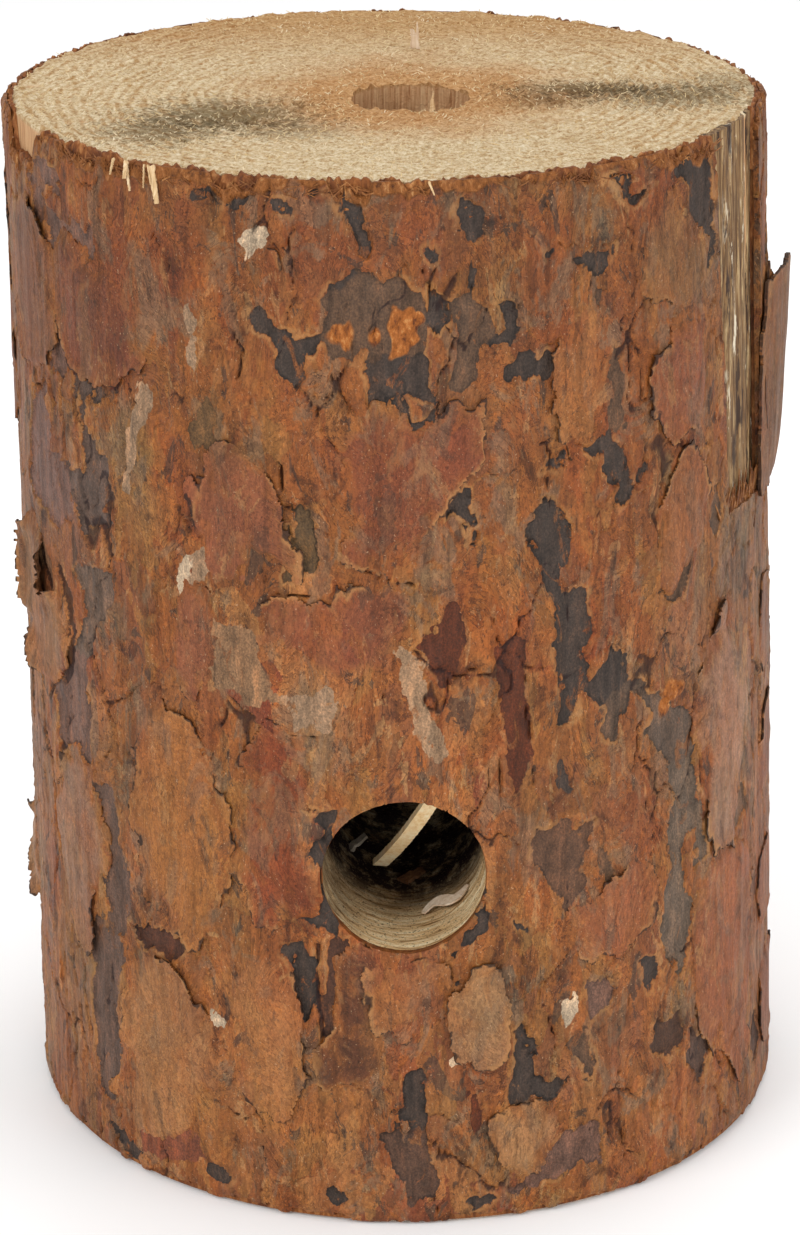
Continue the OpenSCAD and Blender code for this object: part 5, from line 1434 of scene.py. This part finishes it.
def stick():
    """The kindling stick: a pale split strip, bowed, swept along its packed twin's long axis."""
    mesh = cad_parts["kindling_stick"].data
    co = np.empty(len(mesh.vertices) * 3)
    mesh.vertices.foreach_get("co", co)
    co = co.reshape(-1, 3) / MM
    mid = co.mean(0)
    _, _, axes = np.linalg.svd(co - mid, full_matrices=False)
    u = (co - mid) @ axes.T
    steps = 60
    s = np.linspace(u[:, 0].min() + 0.2, u[:, 0].max() - 0.2, steps)
    bow = np.polyval(np.polyfit(u[:, 0], u[:, 1], 2), s)
    wide = np.ptp(u[:, 1] - np.polyval(np.polyfit(u[:, 0], u[:, 1], 2), u[:, 0]))
    deep = np.ptp(u[:, 2])
    lift = np.polyval(np.polyfit(u[:, 0], u[:, 2], 2), s)
    path = mid + s[:, None] * axes[0] + bow[:, None] * axes[1] + lift[:, None] * axes[2]
    rng = np.random.default_rng(3)
    shake = 0.92 + 0.1 * rng.random(steps)
    bar = sweep(path, min(wide, STICK_WIDE) * shake, min(deep, STICK_DEEP) * shake, axes[1])
    bundle("kindling_stick", [bar], stick_wood, "kindling_stick", body="stick")


splinter, pale_pink, bast_fibre, fuzz_fibre, grey_chip, dark_chip, stick_wood = (
    plain_wood_finish(name, srgb(*low), srgb(*mid), srgb(*high), across, along)
    for name, low, mid, high, across, along in (
        ("splinter_wood", (168, 134, 94), (206, 174, 130), (234, 212, 176), 1400, 90),
        ("shaving_wood", (206, 178, 150), (228, 208, 184), (246, 234, 218), 1400, 90),
        ("bast_fibre_wood", (84, 50, 28), (134, 84, 46), (184, 134, 84), 500, 500),
        ("fuzz_fibre_wood", (206, 178, 128), (228, 206, 164), (244, 232, 206), 90, 90),
        ("grey_chip_wood", (96, 88, 78), (140, 128, 112), (176, 164, 148), 1400, 90),
        ("dark_chip_bark", (70, 48, 34), (108, 74, 50), (140, 102, 72), 1400, 90),
        ("stick_wood", (228, 192, 142), (250, 224, 178), (255, 244, 214), 1200, 160)))
core()
inner_bark()
bare_strip()
rim_splinters()
strip_tuft()
rim_fibres()
bore_litter()
stick()


# ------------------------------------------------------------- floor and light
SURROUND = 0.75                          # brightness of the pale surround
LIGHTS = (  # name, place and aim in metres, size in metres, power in watts
    ("key_light", (-1.1, -1.0, 0.95), (0, 0, 0.08), 0.9, 12),
    ("fill_light", (1.2, -0.75, 0.6), (0, 0, 0.08), 1.0, 8),
    ("front_light", (0.1, -1.0, 0.05), (0, 0, 0.03), 0.5, 4.0),
    ("top_light", (0.1, 0.4, 1.5), (0, 0, 0.1), 0.9, 8.5),
)
EYE = (-1.49, -697.7, 362.0)             # camera, mm
TILT, ROLL = 68.96, -0.0041              # degrees from straight down, radians
LENS, SENSOR = 110.9, 36.0               # mm


def stage():
    """A pale floor, a pale surround and four soft lights."""
    f = Finish("studio_floor", 0.9, 0.1)
    cloud = f.noise(f.stretch(3, 3, 3), 2)
    f.finish(f.ramp(cloud, [(0.3, (0.92, 0.92, 0.92, 1)), (0.7, (0.95, 0.95, 0.95, 1))]))
    verts = np.array([(-6, -6, 0), (6, -6, 0), (6, 6, 0), (-6, 6, 0)], float)
    floor = make_mesh("studio_floor", verts, np.array([[0, 1, 2, 3]]), f.material)
    world = bpy.data.worlds.new("studio_world")
    world.use_nodes = True
    world.node_tree.nodes["Background"].inputs["Color"].default_value = (1, 1, 1, 1)
    world.node_tree.nodes["Background"].inputs["Strength"].default_value = SURROUND
    bpy.context.scene.world = world
    for name, spot, aim, size, power in LIGHTS:
        light = bpy.data.lights.new(name, "AREA")
        light.size, light.energy = size, power
        lamp = bpy.data.objects.new(name, light)
        lamp.location = spot
        lamp.rotation_euler = Vector(np.array(aim) - spot).to_track_quat("-Z", "Y").to_euler()
        bpy.context.scene.collection.objects.link(lamp)
    bpy.context.scene.view_settings.view_transform = "Standard"


def camera():
    """Camera at the front, a little above the log, looking 21 degrees down."""
    lens = bpy.data.cameras.new("camera")
    lens.lens, lens.sensor_width, lens.sensor_fit = LENS, SENSOR, "AUTO"
    eye = bpy.data.objects.new("camera", lens)
    eye.location = [v * MM for v in EYE]
    turn = Euler((np.radians(TILT), 0, 0)).to_matrix() @ Euler((0, 0, ROLL)).to_matrix()
    eye.rotation_euler = turn.to_euler()
    bpy.context.scene.collection.objects.link(eye)
    bpy.context.scene.camera = eye


stage()
camera()
